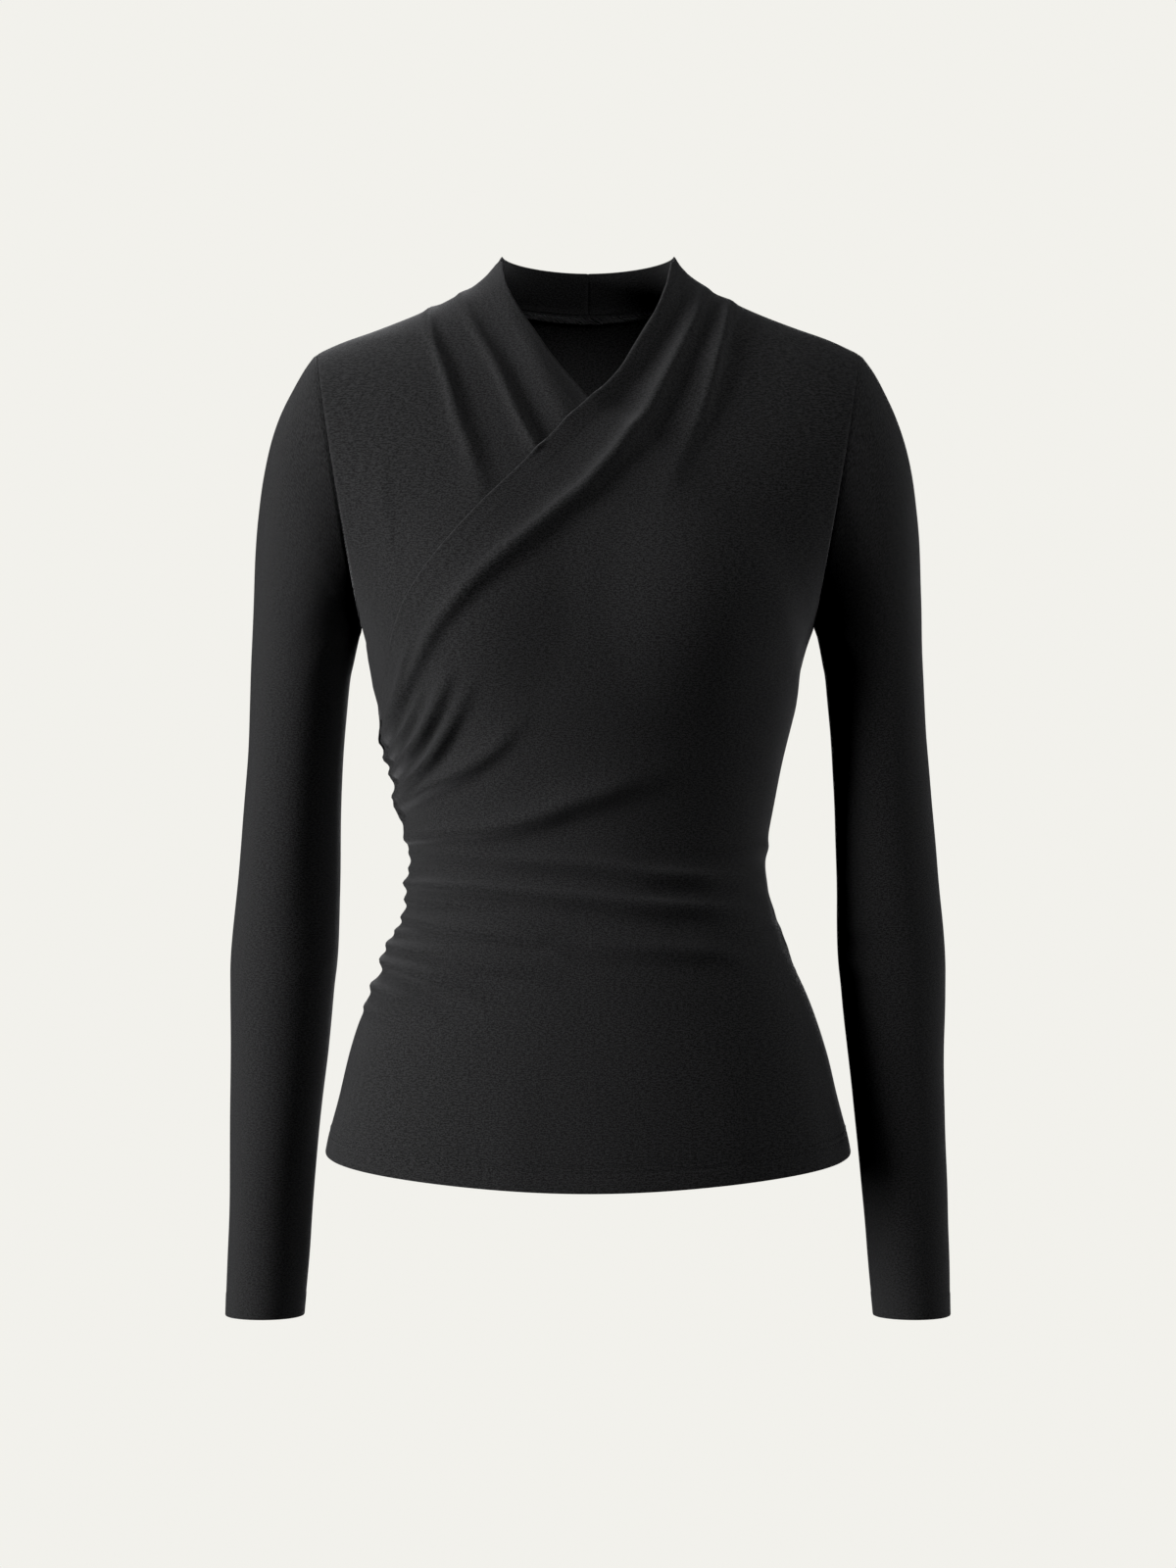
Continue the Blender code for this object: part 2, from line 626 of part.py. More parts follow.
def make_front(name, column, surface, folds, steps, row_table, shorter, material):
    body, collar, shared = front_rows(column, folds, steps, row_table, shorter)
    sign = 1 if column == 1 else -1
    shift = (sign * SEAM_GAP / 2, -SEAM_GAP / 2, 0.0)
    points, normals, guide, numbers = sheet_of(body[:-1] + collar, surface, shift, mirrored=sign < 0)
    below, above = numbers[: len(body) - 1], numbers[len(body) - 1 :]
    pairs = list(zip(below, below[1:] + [above[0][:shared]])) + list(zip(above, above[1:]))
    triangles = [t for low, high in pairs for t in zip_rows(guide, low, high)]
    if sign < 0:
        triangles = [t[::-1] for t in triangles]
    return cloth_solid(name, points, normals, triangles, material)


def make_back(material):
    rows = back_rows()
    points, normals, guide, numbers = sheet_of(rows, back_cloth, (0.0, SEAM_GAP / 2, 0.0))
    triangles = [t for low, high in zip(numbers, numbers[1:]) for t in zip_rows(guide, low, high)]
    return cloth_solid("back", points, normals, triangles, material)


def sleeve_point(bend, ring, side):
    """A point of a sleeve: bend goes round the ring, from its outer point over the front."""
    rows = [(float(i),) + row for i, row in enumerate(SLEEVE_RINGS)]
    outer_z, outer_x, inner_z, inner_x, front, back, middle = (along(rows, c, ring) for c in range(1, 8))
    out = np.cos(bend)
    x = (outer_x + inner_x) / 2 + (outer_x - inner_x) / 2 * out
    x = x + (SLEEVE_CLEAR + UNDERARM_CLEAR) / 2 + (SLEEVE_CLEAR - UNDERARM_CLEAR) / 2 * out
    z = (outer_z + inner_z) / 2 + (outer_z - inner_z) / 2 * out
    depth = np.where(np.sin(bend) > 0, front, back)
    return np.stack([side * x, middle - depth * np.sin(bend), z], -1)


def make_sleeve(name, side, material):
    """A sleeve from its first ring, which has the body's own points, down to the cuff."""
    over_front, behind = armhole_bends(ARMHOLE_STEPS_FRONT), math.pi + armhole_bends(ARMHOLE_STEPS_BACK)
    first = np.concatenate([over_front[:-1], behind[:-1]])
    others = np.linspace(0, 2 * math.pi, SLEEVE_SIDES + 1)[:-1]
    bends = [first] + [others] * (len(SLEEVE_RINGS) - 1)
    ring = np.concatenate([np.full(len(bend), float(i)) for i, bend in enumerate(bends)])
    bend = np.concatenate(bends)
    points = sleeve_point(bend, ring, side)
    small_bend, small_ring = 1e-3, 0.01
    around = sleeve_point(bend + small_bend, ring, side) - sleeve_point(bend - small_bend, ring, side)
    down = sleeve_point(bend, ring + small_ring, side) - sleeve_point(bend, ring - small_ring, side)
    normals = unit(np.cross(around, down)) * side
    starts = np.cumsum([0] + [len(b) for b in bends])
    numbers = [list(range(a, b)) + [a] for a, b in zip(starts, starts[1:])]
    triangles = [t for high, low in zip(numbers, numbers[1:]) for t in zip_rows(points, low, high)]
    if side > 0:
        triangles = [t[::-1] for t in triangles]
    return cloth_solid(name, points, normals, triangles, material)


def jersey():
    material = bpy.data.materials.new("black jersey")
    material.use_nodes = True
    shader = material.node_tree.nodes["Principled BSDF"]
    shader.inputs["Base Color"].default_value = (0.013, 0.0135, 0.015, 1.0)
    shader.inputs["Roughness"].default_value = 0.85
    shader.inputs["Metallic"].default_value = 0.0
    return material


for old in list(bpy.data.objects):
    bpy.data.objects.remove(old)
cloth = jersey()
make_back(cloth)
make_front("front_over", 1, over_cloth, OVER_FOLDS, OVER_STEPS, OVER_ROWS, 0.0, cloth)
make_front("front_under", 2, under_cloth, UNDER_FOLDS, UNDER_STEPS, PLAIN_ROWS, UNDER_HEM_SHORTER, cloth)
make_sleeve("sleeve_left", 1, cloth)
make_sleeve("sleeve_right", -1, cloth)
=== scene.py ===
# A long-sleeved wrap top in fine black jersey, filled out as it is worn, with nobody in it. The pieces follow
# in the order in which the top is sewn. Sizes are millimetres and degrees, in the frame's own axes: +Z is up,
# +X points to the wearer's left, the front faces -Y, and the origin is at the base of the neck.
import json
import math

import bpy
import numpy as np
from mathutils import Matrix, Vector

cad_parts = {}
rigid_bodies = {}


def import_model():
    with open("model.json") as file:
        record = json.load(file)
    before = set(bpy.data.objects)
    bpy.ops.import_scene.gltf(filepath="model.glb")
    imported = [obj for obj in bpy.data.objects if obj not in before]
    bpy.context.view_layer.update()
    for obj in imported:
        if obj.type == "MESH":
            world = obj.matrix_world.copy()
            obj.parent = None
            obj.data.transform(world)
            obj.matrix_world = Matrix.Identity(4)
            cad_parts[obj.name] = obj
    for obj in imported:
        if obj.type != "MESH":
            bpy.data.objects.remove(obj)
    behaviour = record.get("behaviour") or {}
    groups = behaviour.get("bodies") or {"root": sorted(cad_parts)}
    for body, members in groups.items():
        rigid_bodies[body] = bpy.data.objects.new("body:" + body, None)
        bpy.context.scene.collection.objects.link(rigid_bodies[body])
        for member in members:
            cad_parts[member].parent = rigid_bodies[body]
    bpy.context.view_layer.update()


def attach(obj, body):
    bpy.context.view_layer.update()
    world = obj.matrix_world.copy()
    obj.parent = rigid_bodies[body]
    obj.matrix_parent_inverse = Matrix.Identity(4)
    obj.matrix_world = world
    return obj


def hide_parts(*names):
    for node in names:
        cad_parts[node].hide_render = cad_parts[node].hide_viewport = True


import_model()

MM = 0.001

# ------------------------------------------------------------------ the two fronts
# Two pieces of jersey, mirror images in their cut, each in one with its half of the standing collar. Pleats
# are sewn into their shoulder seams, their crossing edges are turned once, and both run on to the far side
# seam, where the over front, the wearer's left one, is ruched.

SHOULDER_LINE = (
    # height, half_width
    (-40.0, 176.5),
    (-31.0, 157.0),
    (-24.0, 136.5),
    (-16.0, 115.5),
    (-7.0, 95.5),
    (0.0, 81.5),
    (8.0, 70.0),
    (16.0, 61.2),
    (24.0, 55.4),
)
SIDE_LINE = (
    # height, half_width
    (-219.0, 146.5),
    (-224.0, 144.6),
    (-231.0, 142.1),
    (-243.0, 138.8),
    (-262.0, 134.3),
    (-282.0, 129.4),
    (-301.0, 124.5),
    (-320.0, 120.5),
    (-339.0, 116.8),
    (-358.0, 113.6),
    (-373.0, 112.8),
    (-387.0, 114.1),
    (-406.0, 118.6),
    (-435.0, 130.1),
    (-464.0, 142.3),
    (-493.0, 151.9),
    (-522.0, 158.9),
    (-550.0, 166.0),
    (-582.0, 172.0),
)
PROFILE = (
    # height, front, back, roundness
    (-582.0, 112.0, 107.0, 2.10),
    (-522.0, 106.0, 109.0, 2.12),
    (-464.0, 97.0, 98.0, 2.12),
    (-406.0, 86.0, 80.0, 2.10),
    (-373.0, 82.0, 74.0, 2.10),
    (-339.0, 84.0, 76.0, 2.12),
    (-301.0, 91.0, 82.0, 2.18),
    (-262.0, 100.0, 89.0, 2.25),
    (-224.0, 106.0, 95.0, 2.30),
    (-190.0, 106.0, 98.0, 2.30),
    (-160.0, 102.0, 99.0, 2.26),
    (-120.0, 92.0, 98.0, 2.20),
    (-88.0, 80.0, 94.0, 2.12),
    (-57.0, 64.5, 86.0, 2.05),
    (-29.0, 47.5, 73.0, 2.00),
    (-10.0, 39.5, 62.0, 2.00),
    (0.0, 35.0, 60.0, 2.00),
    (24.0, 20.0, 57.0, 2.00),
)
BUST_TURN, BUST_Z = 37.0, -205.0  # middle of each side's fullness: degrees from the centre front, and height
BUST_RISE = 9.0
BUST_WIDE, BUST_TALL = 33.0, 85.0

SHOULDER_X, SHOULDER_Z = 176.5, -40.0  # top of the armhole
UNDERARM_X, UNDERARM_Z = 146.5, -219.0  # foot of the armhole
ARMHOLE_FRONT, ARMHOLE_BACK = 56.0, 52.0
COLLAR_CORNER, COLLAR_TOP, COLLAR_TOP_BACK = 19.0, 23.5, 19.0
NECK_SEAM_BACK = -7.5  # at the centre back
HEM_SIDE = -558.0
HEM_DROP_FRONT, HEM_DROP_BACK = 19.0, 15.0
HEM_ROUND = 0.8
UNDER_HEM_SHORTER = 4.0
BEND_FROM = -478.0  # below this height the rows of cloth bend to the hem
RUCHED_FROM = -456.0  # above this height the fronts' rows of cloth are closer together
WRAP_END = -276.0  # where the crossing edges run into the side seams

SEAM_GAP = 0.3
LAYER = 2.5  # between the middles of the two fronts
LAYER_RAMP, LAYER_WALL = 34.0, 1.1
LAYER_ROOM = 2.2  # least distance between the middles of the two fronts
PRESS_FROM, PRESS_OVER = -3.0, 8.0  # the under front is pressed flat from here on, past the over front's edge
OUT_FACE, IN_FACE = 0.5, 0.4  # the jersey's faces, from its middle
SEAM_DEPTH, SEAM_WIDTH = 0.9, 1.2  # how a seam draws both pieces in
LIP_RISE, LIP_IN, LIP_WIDTH = 0.22, 0.9, 1.1  # a crossing edge's raised rim, and how far in it lies
COLLAR_RIDGE, COLLAR_HOLLOW, COLLAR_SEAM_WIDTH = 0.35, 0.34, 0.9  # outside and inside, at the collar's back
EDGE_TURN = 10.5  # depth of the turned crossing edges
HEM_TURN = 16.4
TURN_OUT, TURN_IN = 0.22, 0.8  # what a turned layer adds outside and inside
STITCH_ROWS = (12.0, 16.0)  # of the hem's cover stitch, above its edge
GROOVE_DEPTH, GROOVE_WIDTH = 0.42, 0.9  # what each of those rows draws in
BODY_RADIUS = 110.0  # turns a turn into millimetres of knit
BODY_WAVES, SLEEVE_WAVES = 0.17, 0.3  # height of the waviness of soft cloth

OVER, UNDER = 1, 2  # columns of the table below, which name a front
EDGES = (
    # height, over_x, under_x
    (24.0, 55.0, -55.2),
    (12.0, 52.3, -54.5),
    (-2.0, 49.0, -51.0),
    (-16.0, 43.7, -43.7),
    (-29.0, 36.6, -35.0),
    (-43.0, 29.0, -25.8),
    (-57.0, 20.5, -14.5),
    (-68.0, 10.5, -5.0),
    (-77.0, 0.6, 2.5),
    (-88.0, -11.8, 13.0),
    (-101.0, -24.5, 25.5),
    (-125.0, -49.0, 50.0),
    (-150.0, -73.7, 74.5),
    (-179.0, -98.6, 99.5),
    (-203.0, -114.6, 115.0),
    (-223.0, -122.6, 123.0),
    (-245.0, -127.2, 127.5),
    (-260.0, -131.0, 131.0),
    (-268.0, -131.6, 131.6),
    (-276.0, -131.4, 131.4),
)

# Each crease has a path of (x, height) points on the form, from its upper or right end, as seen from outside.
# Its rise, the widths over which the cloth falls on its left and right, and the dip beyond on the right are
# single numbers, or change along it in even steps. Where a path runs across, left is above and right below.
UNDER_CREASES = (
    # name, rise, left, right, dip, path
    ("shoulder pleat", (1.0, 3.0, 3.8, 4.2, 4.0, 2.4, 0.0), (1.8, 1.8, 2.4, 3.2, 5.0, 8.0),
     (4.6, 5.0, 5.4, 6.6, 8.0, 10.0), (1.0, 1.4, 1.6, 2.0, 1.2, 0.2),
     ((-104, -10), (-103, -28), (-98, -43), (-92, -58), (-87, -75), (-82, -92), (-76, -106), (-72, -120),
      (-68, -134), (-64, -148))),
    ("neck pleat", (1.0, 2.6, 3.2, 3.8, 4.2, 3.4), (1.7, 1.8, 2.2, 2.6, 3.0), (6.0, 6.4, 6.4, 6.0, 6.0),
     (0.8, 1.6, 2.8, 3.6, 3.6, 3.0),
     ((-83, -1), (-80, -14), (-74, -28), (-66, -42), (-59, -55), (-52, -71), (-46, -84), (-39, -98),
      (-31, -111), (-22, -127))),
    ("edge roll", (0.0, 3.0, 4.4, 4.8, 4.6, 4.0, 3.0), (7.0, 9.0, 9.0, 9.0), (8.0, 11.0, 12.0, 12.0),
     (0.2, 0.6, 0.6),
     ((-60, 21), (-59, 9), (-52, -6), (-47, -20), (-40, -35), (-34, -49), (-27, -64), (-20, -77), (-12, -91),
      (-2, -106))),
    ("chest drag", (0.0, 0.9, 0.9, 0.0), 5.0, 6.0, 0.3,
     ((-128, -105), (-131, -126), (-130, -145), (-126, -167), (-123, -189))),
    ("side swell", (0.0, 3.0, 4.2, 3.8, 2.0, 0.0), 16.0, 16.0, 0.0,
     ((-146, -216), (-142, -238), (-138, -256), (-134, -272), (-131, -290), (-127, -306))),
)
OVER_CREASES = (
    ("crossing edge", (0.0, 3.4, 5.0, 5.0, 4.2, 2.8, 1.4, 0.0), (4.0, 3.0), (7.0, 8.0, 8.5, 9.0, 9.0),
     (0.4, 3.4, 4.4, 3.6, 2.0, 0.4),
     ((56, 22), (52, 8), (47, -7), (40, -24), (32, -38), (24, -51), (15, -62), (7, -70), (-1, -77),
      (-11, -86), (-24, -100), (-36, -112))),
    ("main drape", (1.0, 5.6, 7.2, 7.4, 6.8, 5.2, 4.0, 3.6, 3.6),
     (9.0, 7.0, 6.0, 5.0, 5.0, 5.0, 5.0, 4.4, 4.0), (4.0, 5.4, 6.4, 7.0, 8.0, 8.0, 6.4, 4.8, 4.2),
     (0.0, 1.2, 2.6, 3.4, 3.4, 3.0, 3.0, 2.8, 2.0),
     ((77, 3), (74, -1), (70, -15), (64, -30), (57, -45), (50, -59), (43, -73), (36, -86), (27, -97),
      (17, -111), (7, -122), (-4, -134), (-17, -144), (-31, -156), (-47, -169), (-60, -180), (-74, -193),
      (-85, -206), (-95, -219), (-104, -235), (-112, -252), (-119, -270), (-126, -287), (-138, -302))),
    ("shoulder pleat", (0.7, 5.0, 6.0, 5.6, 4.2, 2.2, 0.0), (7.0, 7.0, 7.0, 8.0, 10.0),
     (3.4, 4.0, 4.6, 6.0, 8.0), (0.0, 0.8, 1.0, 0.8, 0.2, 0.0),
     ((93, -5), (91, -11), (88, -26), (84, -41), (80, -57), (76, -71), (71, -85), (65, -99), (58, -114),
      (52, -130), (47, -147))),
    ("side roll", (0.0, 2.2, 3.2, 3.2, 2.4), (4.0, 3.6, 3.0), (5.0, 4.4, 4.0), (0.0, 1.4, 1.6, 1.2),
     ((-109, -222), (-114, -238), (-118, -256), (-123, -272), (-131, -290))),
    ("gather 1", (0.0, 2.6, 4.2, 3.6, 1.4), (4.0, 3.2, 2.8), (4.4, 3.8, 3.4), (0.0, 2.4, 2.8, 1.0),
     ((-104, -256), (-110, -273), (-117, -288), (-126, -302), (-138, -314))),
    ("gather 2", (0.0, 3.6, 6.0, 7.4, 7.4, 5.0, 1.6), (6.0, 4.6, 3.8, 3.4, 3.0),
     (6.0, 5.6, 5.4, 5.0, 4.4, 4.0), (0.0, 2.2, 4.4, 5.6, 5.4, 3.6, 1.2),
     ((-86, -243), (-91, -258), (-96, -271), (-102, -284), (-110, -296), (-121, -310), (-138, -326))),
    ("gather 3", (0.0, 2.2, 4.4, 6.2, 6.8, 6.4, 4.4, 1.6), (7.0, 5.4, 4.6, 4.0, 3.4, 3.0),
     (6.0, 5.6, 5.4, 5.0, 4.6, 4.0), (0.0, 1.2, 2.8, 4.4, 4.8, 4.6, 3.0, 1.2),
     ((-71, -249), (-78, -263), (-84, -276), (-91, -289), (-98, -301), (-107, -312), (-119, -325),
      (-138, -340))),
    ("gather 4", (0.0, 1.4, 3.0, 4.6, 5.6, 6.2, 4.8, 1.8), (9.0, 8.0, 7.0, 6.0, 5.0, 4.0),
     (7.0, 6.6, 6.2, 6.0, 5.6, 5.2), (0.0, 0.8, 2.0, 3.2, 4.4, 5.2, 4.0, 1.4),
     ((-34, -271), (-48, -284), (-57, -295), (-70, -305), (-84, -313), (-99, -320), (-114, -329),
      (-138, -347))),
    ("long gather", (0.0, 2.0, 4.4, 5.6, 5.8, 5.2, 4.2, 3.2, 2.0), (11.0, 10.0, 9.0, 8.0, 7.0, 6.0, 5.0),
     (12.0, 11.0, 10.0, 8.6, 7.0, 5.6, 4.6), (0.0, 0.8, 2.0, 2.8, 3.2, 3.2, 2.4, 1.4),
     ((66, -302), (44, -312), (25, -318), (6, -325), (-12, -331), (-28, -338), (-47, -344), (-66, -348),
      (-85, -349), (-108, -352), (-136, -355))),
    ("waist fold 1", (0.0, 2.6, 5.0, 5.8, 5.0, 4.4, 4.0, 3.8, 3.4, 1.6),
     (5.0, 4.0, 3.4, 3.8, 4.4, 4.4, 4.0, 3.0), (7.0, 8.4, 8.8, 9.0, 8.4, 6.0, 4.0),
     (0.0, 1.4, 2.8, 3.4, 3.6, 3.4, 2.8, 1.2),
     ((118, -384), (91, -380), (75, -379), (63, -378), (50, -377), (37, -376), (25, -374), (6, -371),
      (-19, -369), (-50, -368), (-82, -364), (-136, -364))),
    ("waist fold 2", (0.0, 2.6, 4.8, 5.4, 4.6, 4.2, 4.4, 5.0, 4.8, 1.6),
     (5.0, 4.0, 3.4, 3.8, 4.4, 4.4, 4.0, 3.0), (7.0, 8.4, 8.4, 8.0, 6.4, 4.4, 3.6),
     (0.0, 2.0, 3.6, 4.0, 4.0, 4.4, 4.4, 1.6),
     ((114, -404), (91, -400), (78, -399), (62, -398), (50, -397), (37, -396), (25, -395), (6, -393),
      (-19, -391), (-50, -388), (-82, -386), (-108, -385), (-136, -385))),
    ("waist fold 3", (0.0, 2.6, 4.0, 3.4, 2.4, 1.4, 0.0), (6.0, 5.0), 8.0, (0.0, 2.0, 2.8, 1.8, 0.6),
     ((106, -434), (88, -429), (75, -427), (62, -426), (44, -424), (25, -423), (0, -422), (-25, -421))),
    ("sharp crease", (0.0, 2.6, 3.4, 3.6, 3.2, 1.2), (9.0, 8.0, 7.0, 5.0), (2.2, 2.2, 2.4),
     (0.4, 3.6, 5.0, 5.2, 2.0),
     ((-10, -434), (-25, -424), (-34, -421), (-44, -419), (-56, -417), (-75, -415), (-88, -413),
      (-107, -409), (-140, -405))),
    ("side fold 1", (0.0, 1.8, 3.0, 3.2, 1.4), (7.0, 6.0, 5.0), (3.4, 3.2, 3.0), (0.0, 2.8, 4.0, 1.6),
     ((-52, -399), (-80, -397), (-104, -396), (-138, -395))),
    ("side fold 2", (0.0, 2.4, 3.0, 3.2, 3.0, 1.4), (8.0, 7.0, 5.0), (4.0, 3.6, 3.2), (0.0, 3.2, 4.2, 1.6),
     ((-18, -449), (-43, -440), (-62, -437), (-81, -433), (-100, -429), (-120, -427), (-144, -423))),
    ("side fold 3", (0.0, 3.2, 5.0, 5.4, 4.4, 1.8), (8.0, 7.0, 6.0, 4.6), (5.4, 5.0, 4.8, 4.0),
     (0.0, 5.4, 7.6, 6.4, 1.8),
     ((-60, -459), (-84, -449), (-98, -445), (-112, -441), (-127, -437), (-148, -432))),
    ("side fold 4", (0.0, 2.2, 3.8, 3.8, 1.4), (6.0, 5.0, 3.6), (5.6, 5.0, 4.2), (0.0, 2.2, 2.8, 1.0),
     ((-88, -472), (-108, -462), (-128, -455), (-152, -448))),
    ("seam pucker 1", (0.0, 1.6, 2.4, 1.6), (3.2, 2.6), 3.0, (0.4, 1.6, 1.0),
     ((-80, -353), (-104, -355), (-120, -356), (-136, -357))),
    ("seam pucker 2", (0.0, 2.0, 1.6), 2.8, 2.6, (0.2, 1.6, 1.0), ((-90, -374), (-112, -375), (-136, -376))),
    ("seam pucker 3", (0.0, 2.0, 1.6), 2.8, 2.6, (0.2, 1.4, 1.0), ((-98, -419), (-116, -417), (-140, -415))),
    ("seam pucker 4", (0.0, 1.8, 1.6), 3.0, 2.8, (0.2, 1.2, 0.8), ((-110, -478), (-132, -469), (-156, -462))),
    ("left waist fold", (1.6, 1.4, 0.6, 0.0), (4.0, 6.0), (6.0, 8.0), (0.8, 0.4, 0.0),
     ((136, -360), (100, -360), (76, -357), (48, -356))),
    ("left hip fold", (1.4, 1.2, 0.5, 0.0), (4.0, 6.0), (6.0, 8.0), (0.6, 0.3, 0.0),
     ((140, -414), (108, -415), (86, -415), (60, -418))),
    ("hang left", (0.0, 0.9, 1.2, 1.0), 16.0, 18.0, 0.3, ((78, -470), (86, -505), (92, -545), (95, -580))),
    ("hang right", (0.0, 0.7, 1.0, 1.0), 16.0, 18.0, 0.3,
     ((-40, -480), (-46, -515), (-50, -550), (-52, -582))),
)
BACK_CREASES = (
    ("waist 1", (0.5, 1.8, 2.4, 2.0, 1.6, 0.6), 7.0, 9.0, 1.0,
     ((-108, -350), (-66, -358), (-24, -362), (22, -359), (62, -352), (106, -344))),
    ("waist 2", (1.0, 2.4, 2.8, 2.6, 1.2, 0.0), 8.0, 10.0, 1.4,
     ((-118, -384), (-70, -388), (-26, -385), (18, -386), (66, -391), (98, -386))),
    ("waist 3", (0.4, 1.6, 2.2, 1.8, 1.4, 1.2), 7.0, 9.0, (1.2, 1.2, 0.6),
     ((-96, -408), (-58, -407), (-20, -411), (24, -410), (76, -404), (124, -402))),
    ("waist 4", (1.4, 1.6, 1.2, 0.0), 7.0, 9.0, 0.8, ((-138, -426), (-96, -436), (-44, -439), (-4, -432))),
    ("waist 5", (0.0, 1.4, 1.6, 1.2), 8.0, 9.0, 0.8, ((18, -442), (56, -434), (92, -431), (136, -424))),
    ("blade left", (0.8, 1.8, 1.6, 0.8, 0.0), 12.0, 12.0, 0.6,
     ((150, -150), (128, -168), (104, -190), (84, -218), (72, -246))),
    ("blade right", (0.8, 1.6, 1.7, 0.8, 0.0), 12.0, 12.0, 0.6,
     ((-150, -158), (-130, -174), (-108, -194), (-90, -220), (-80, -244))),
    ("underarm left", (0.8, 1.3, 0.9, 0.0), 7.0, 7.0, 0.5,
     ((142, -196), (124, -212), (108, -236), (98, -262))),
    ("underarm right", (0.8, 1.4, 0.9, 0.0), 7.0, 7.0, 0.5,
     ((-143, -190), (-126, -208), (-112, -230), (-102, -258))),
    ("hang left", (0.0, 1.0, 1.3, 1.3), 16.0, 18.0, 0.3, ((64, -455), (70, -500), (74, -545), (76, -580))),
    ("hang right", (0.0, 0.9, 1.2, 1.2), 15.0, 18.0, 0.3,
     ((-84, -458), (-90, -500), (-94, -545), (-96, -580))),
)


def along(table, column, at):
    """The smooth curve through one column of a table, against its first, at any heights."""
    rows = sorted(table)
    x = np.array([row[0] for row in rows])
    y = np.array([row[column] for row in rows])
    slope = np.gradient(y, x)
    at = np.clip(np.asarray(at, float), x[0], x[-1])
    i = np.clip(np.searchsorted(x, at) - 1, 0, len(x) - 2)
    step = x[i + 1] - x[i]
    t = (at - x[i]) / step
    ends = (2 * t**3 - 3 * t**2 + 1) * y[i] + (3 * t**2 - 2 * t**3) * y[i + 1]
    slopes = (t**3 - 2 * t**2 + t) * slope[i] + (t**3 - t**2) * slope[i + 1]
    return ends + step * slopes


def ease(t):
    """0 up to t = 0, 1 from t = 1 on, and smooth between."""
    t = np.clip(t, 0.0, 1.0)
    return t * t * (3 - 2 * t)


def ridge(away, width):
    """1 on the line of a small ridge or ditch, falling off over a width on both sides."""
    return np.exp(-((away / width) ** 2))


def turned_in(away, depth, fade=1.2):
    """1 where the cloth is turned in, up to a depth from its edge, and 0 beyond."""
    return 1 - ease((away - depth) / fade)


def unit(v):
    return v / np.maximum(np.linalg.norm(v, axis=-1, keepdims=True), 1e-12)


def lengths(line):
    """Distance along a line to each of its points."""
    return np.concatenate([[0.0], np.cumsum(np.linalg.norm(np.diff(line, axis=0), axis=1))])


def armhole(z, depth):
    """(half width, distance from the side seam's plane) of the armhole's edge at a height."""
    up = np.clip((z - UNDERARM_Z) / (SHOULDER_Z - UNDERARM_Z), 0.0, 1.0)
    x = UNDERARM_X + (SHOULDER_X - UNDERARM_X) * up
    return x, depth * np.sqrt(np.clip(1 - (2 * up - 1) ** 2, 0.0, 1.0))


def section(turn, z):
    """(reach, half width, roundness) of the form's level section, in front or behind as the turn says."""
    ahead = np.cos(turn) >= 0
    reach = np.where(ahead, along(PROFILE, 1, z), along(PROFILE, 2, z))
    roundness = along(PROFILE, 3, z)
    x, y = armhole(z, np.where(ahead, ARMHOLE_FRONT, ARMHOLE_BACK))
    beside_armhole = x / (1 - (y / reach) ** roundness) ** (1 / roundness)
    elsewhere = np.where(z >= SHOULDER_Z, along(SHOULDER_LINE, 1, z), along(SIDE_LINE, 1, z))
    width = np.where((z < SHOULDER_Z) & (z > UNDERARM_Z), beside_armhole, elsewhere)
    return reach, width, roundness


def form(turn, z):
    """The form's point at a turn from the centre front, positive to the wearer's left, and a height."""
    reach, width, n = section(turn, z)
    side, ahead = np.abs(np.sin(turn)), np.abs(np.cos(turn))
    radius = ((side / width) ** n + (ahead / reach) ** n) ** (-1 / n)
    off_turn = (np.abs(np.degrees(turn)) - BUST_TURN) / BUST_WIDE
    off_z = (z - BUST_Z) / BUST_TALL
    radius = radius + BUST_RISE * ease(1 - np.hypot(off_turn, off_z))
    return np.stack([radius * np.sin(turn), -radius * np.cos(turn), z + 0 * turn], -1)


def facing(surface, turn, z):
    """The outward direction of a surface given as a function of turn and height."""
    small_turn, small_z = 2e-3, 0.1
    around = surface(turn + small_turn, z) - surface(turn - small_turn, z)
    upward = surface(turn, z + small_z) - surface(turn, z - small_z)
    return unit(np.cross(around, upward))


def turn_at(x, z, behind=False):
    """The turn at which the front of the form, or its back, is at a distance x from the centre."""
    x = x + 0.0 * z
    reach, width, n = section(math.pi * behind + 0.0 * x, z)
    share = np.clip(np.abs(x) / width, 0.0, 1.0)
    turn = np.arctan2(np.abs(x), reach * (1 - share**n) ** (1 / n))
    if behind:
        return math.pi - np.sign(x) * turn
    for _ in range(12):  # settles on the mounds of the chest
        radius = np.hypot(*np.moveaxis(form(turn, z)[..., :2], -1, 0))
        turn = np.where(share < 1, np.arcsin(np.clip(np.abs(x) / radius, 0.0, 1.0)), turn)
    return np.sign(x) * turn


def on_front(x, z):
    return form(turn_at(x, z), z)


def on_back(x, z):
    return form(turn_at(x, z, behind=True), z)


def round_body(turn, z):
    """Distance round the body from the centre front, near enough to lay the layers with."""
    reach, width, _ = section(turn, z)
    return turn * (reach + width) / 2


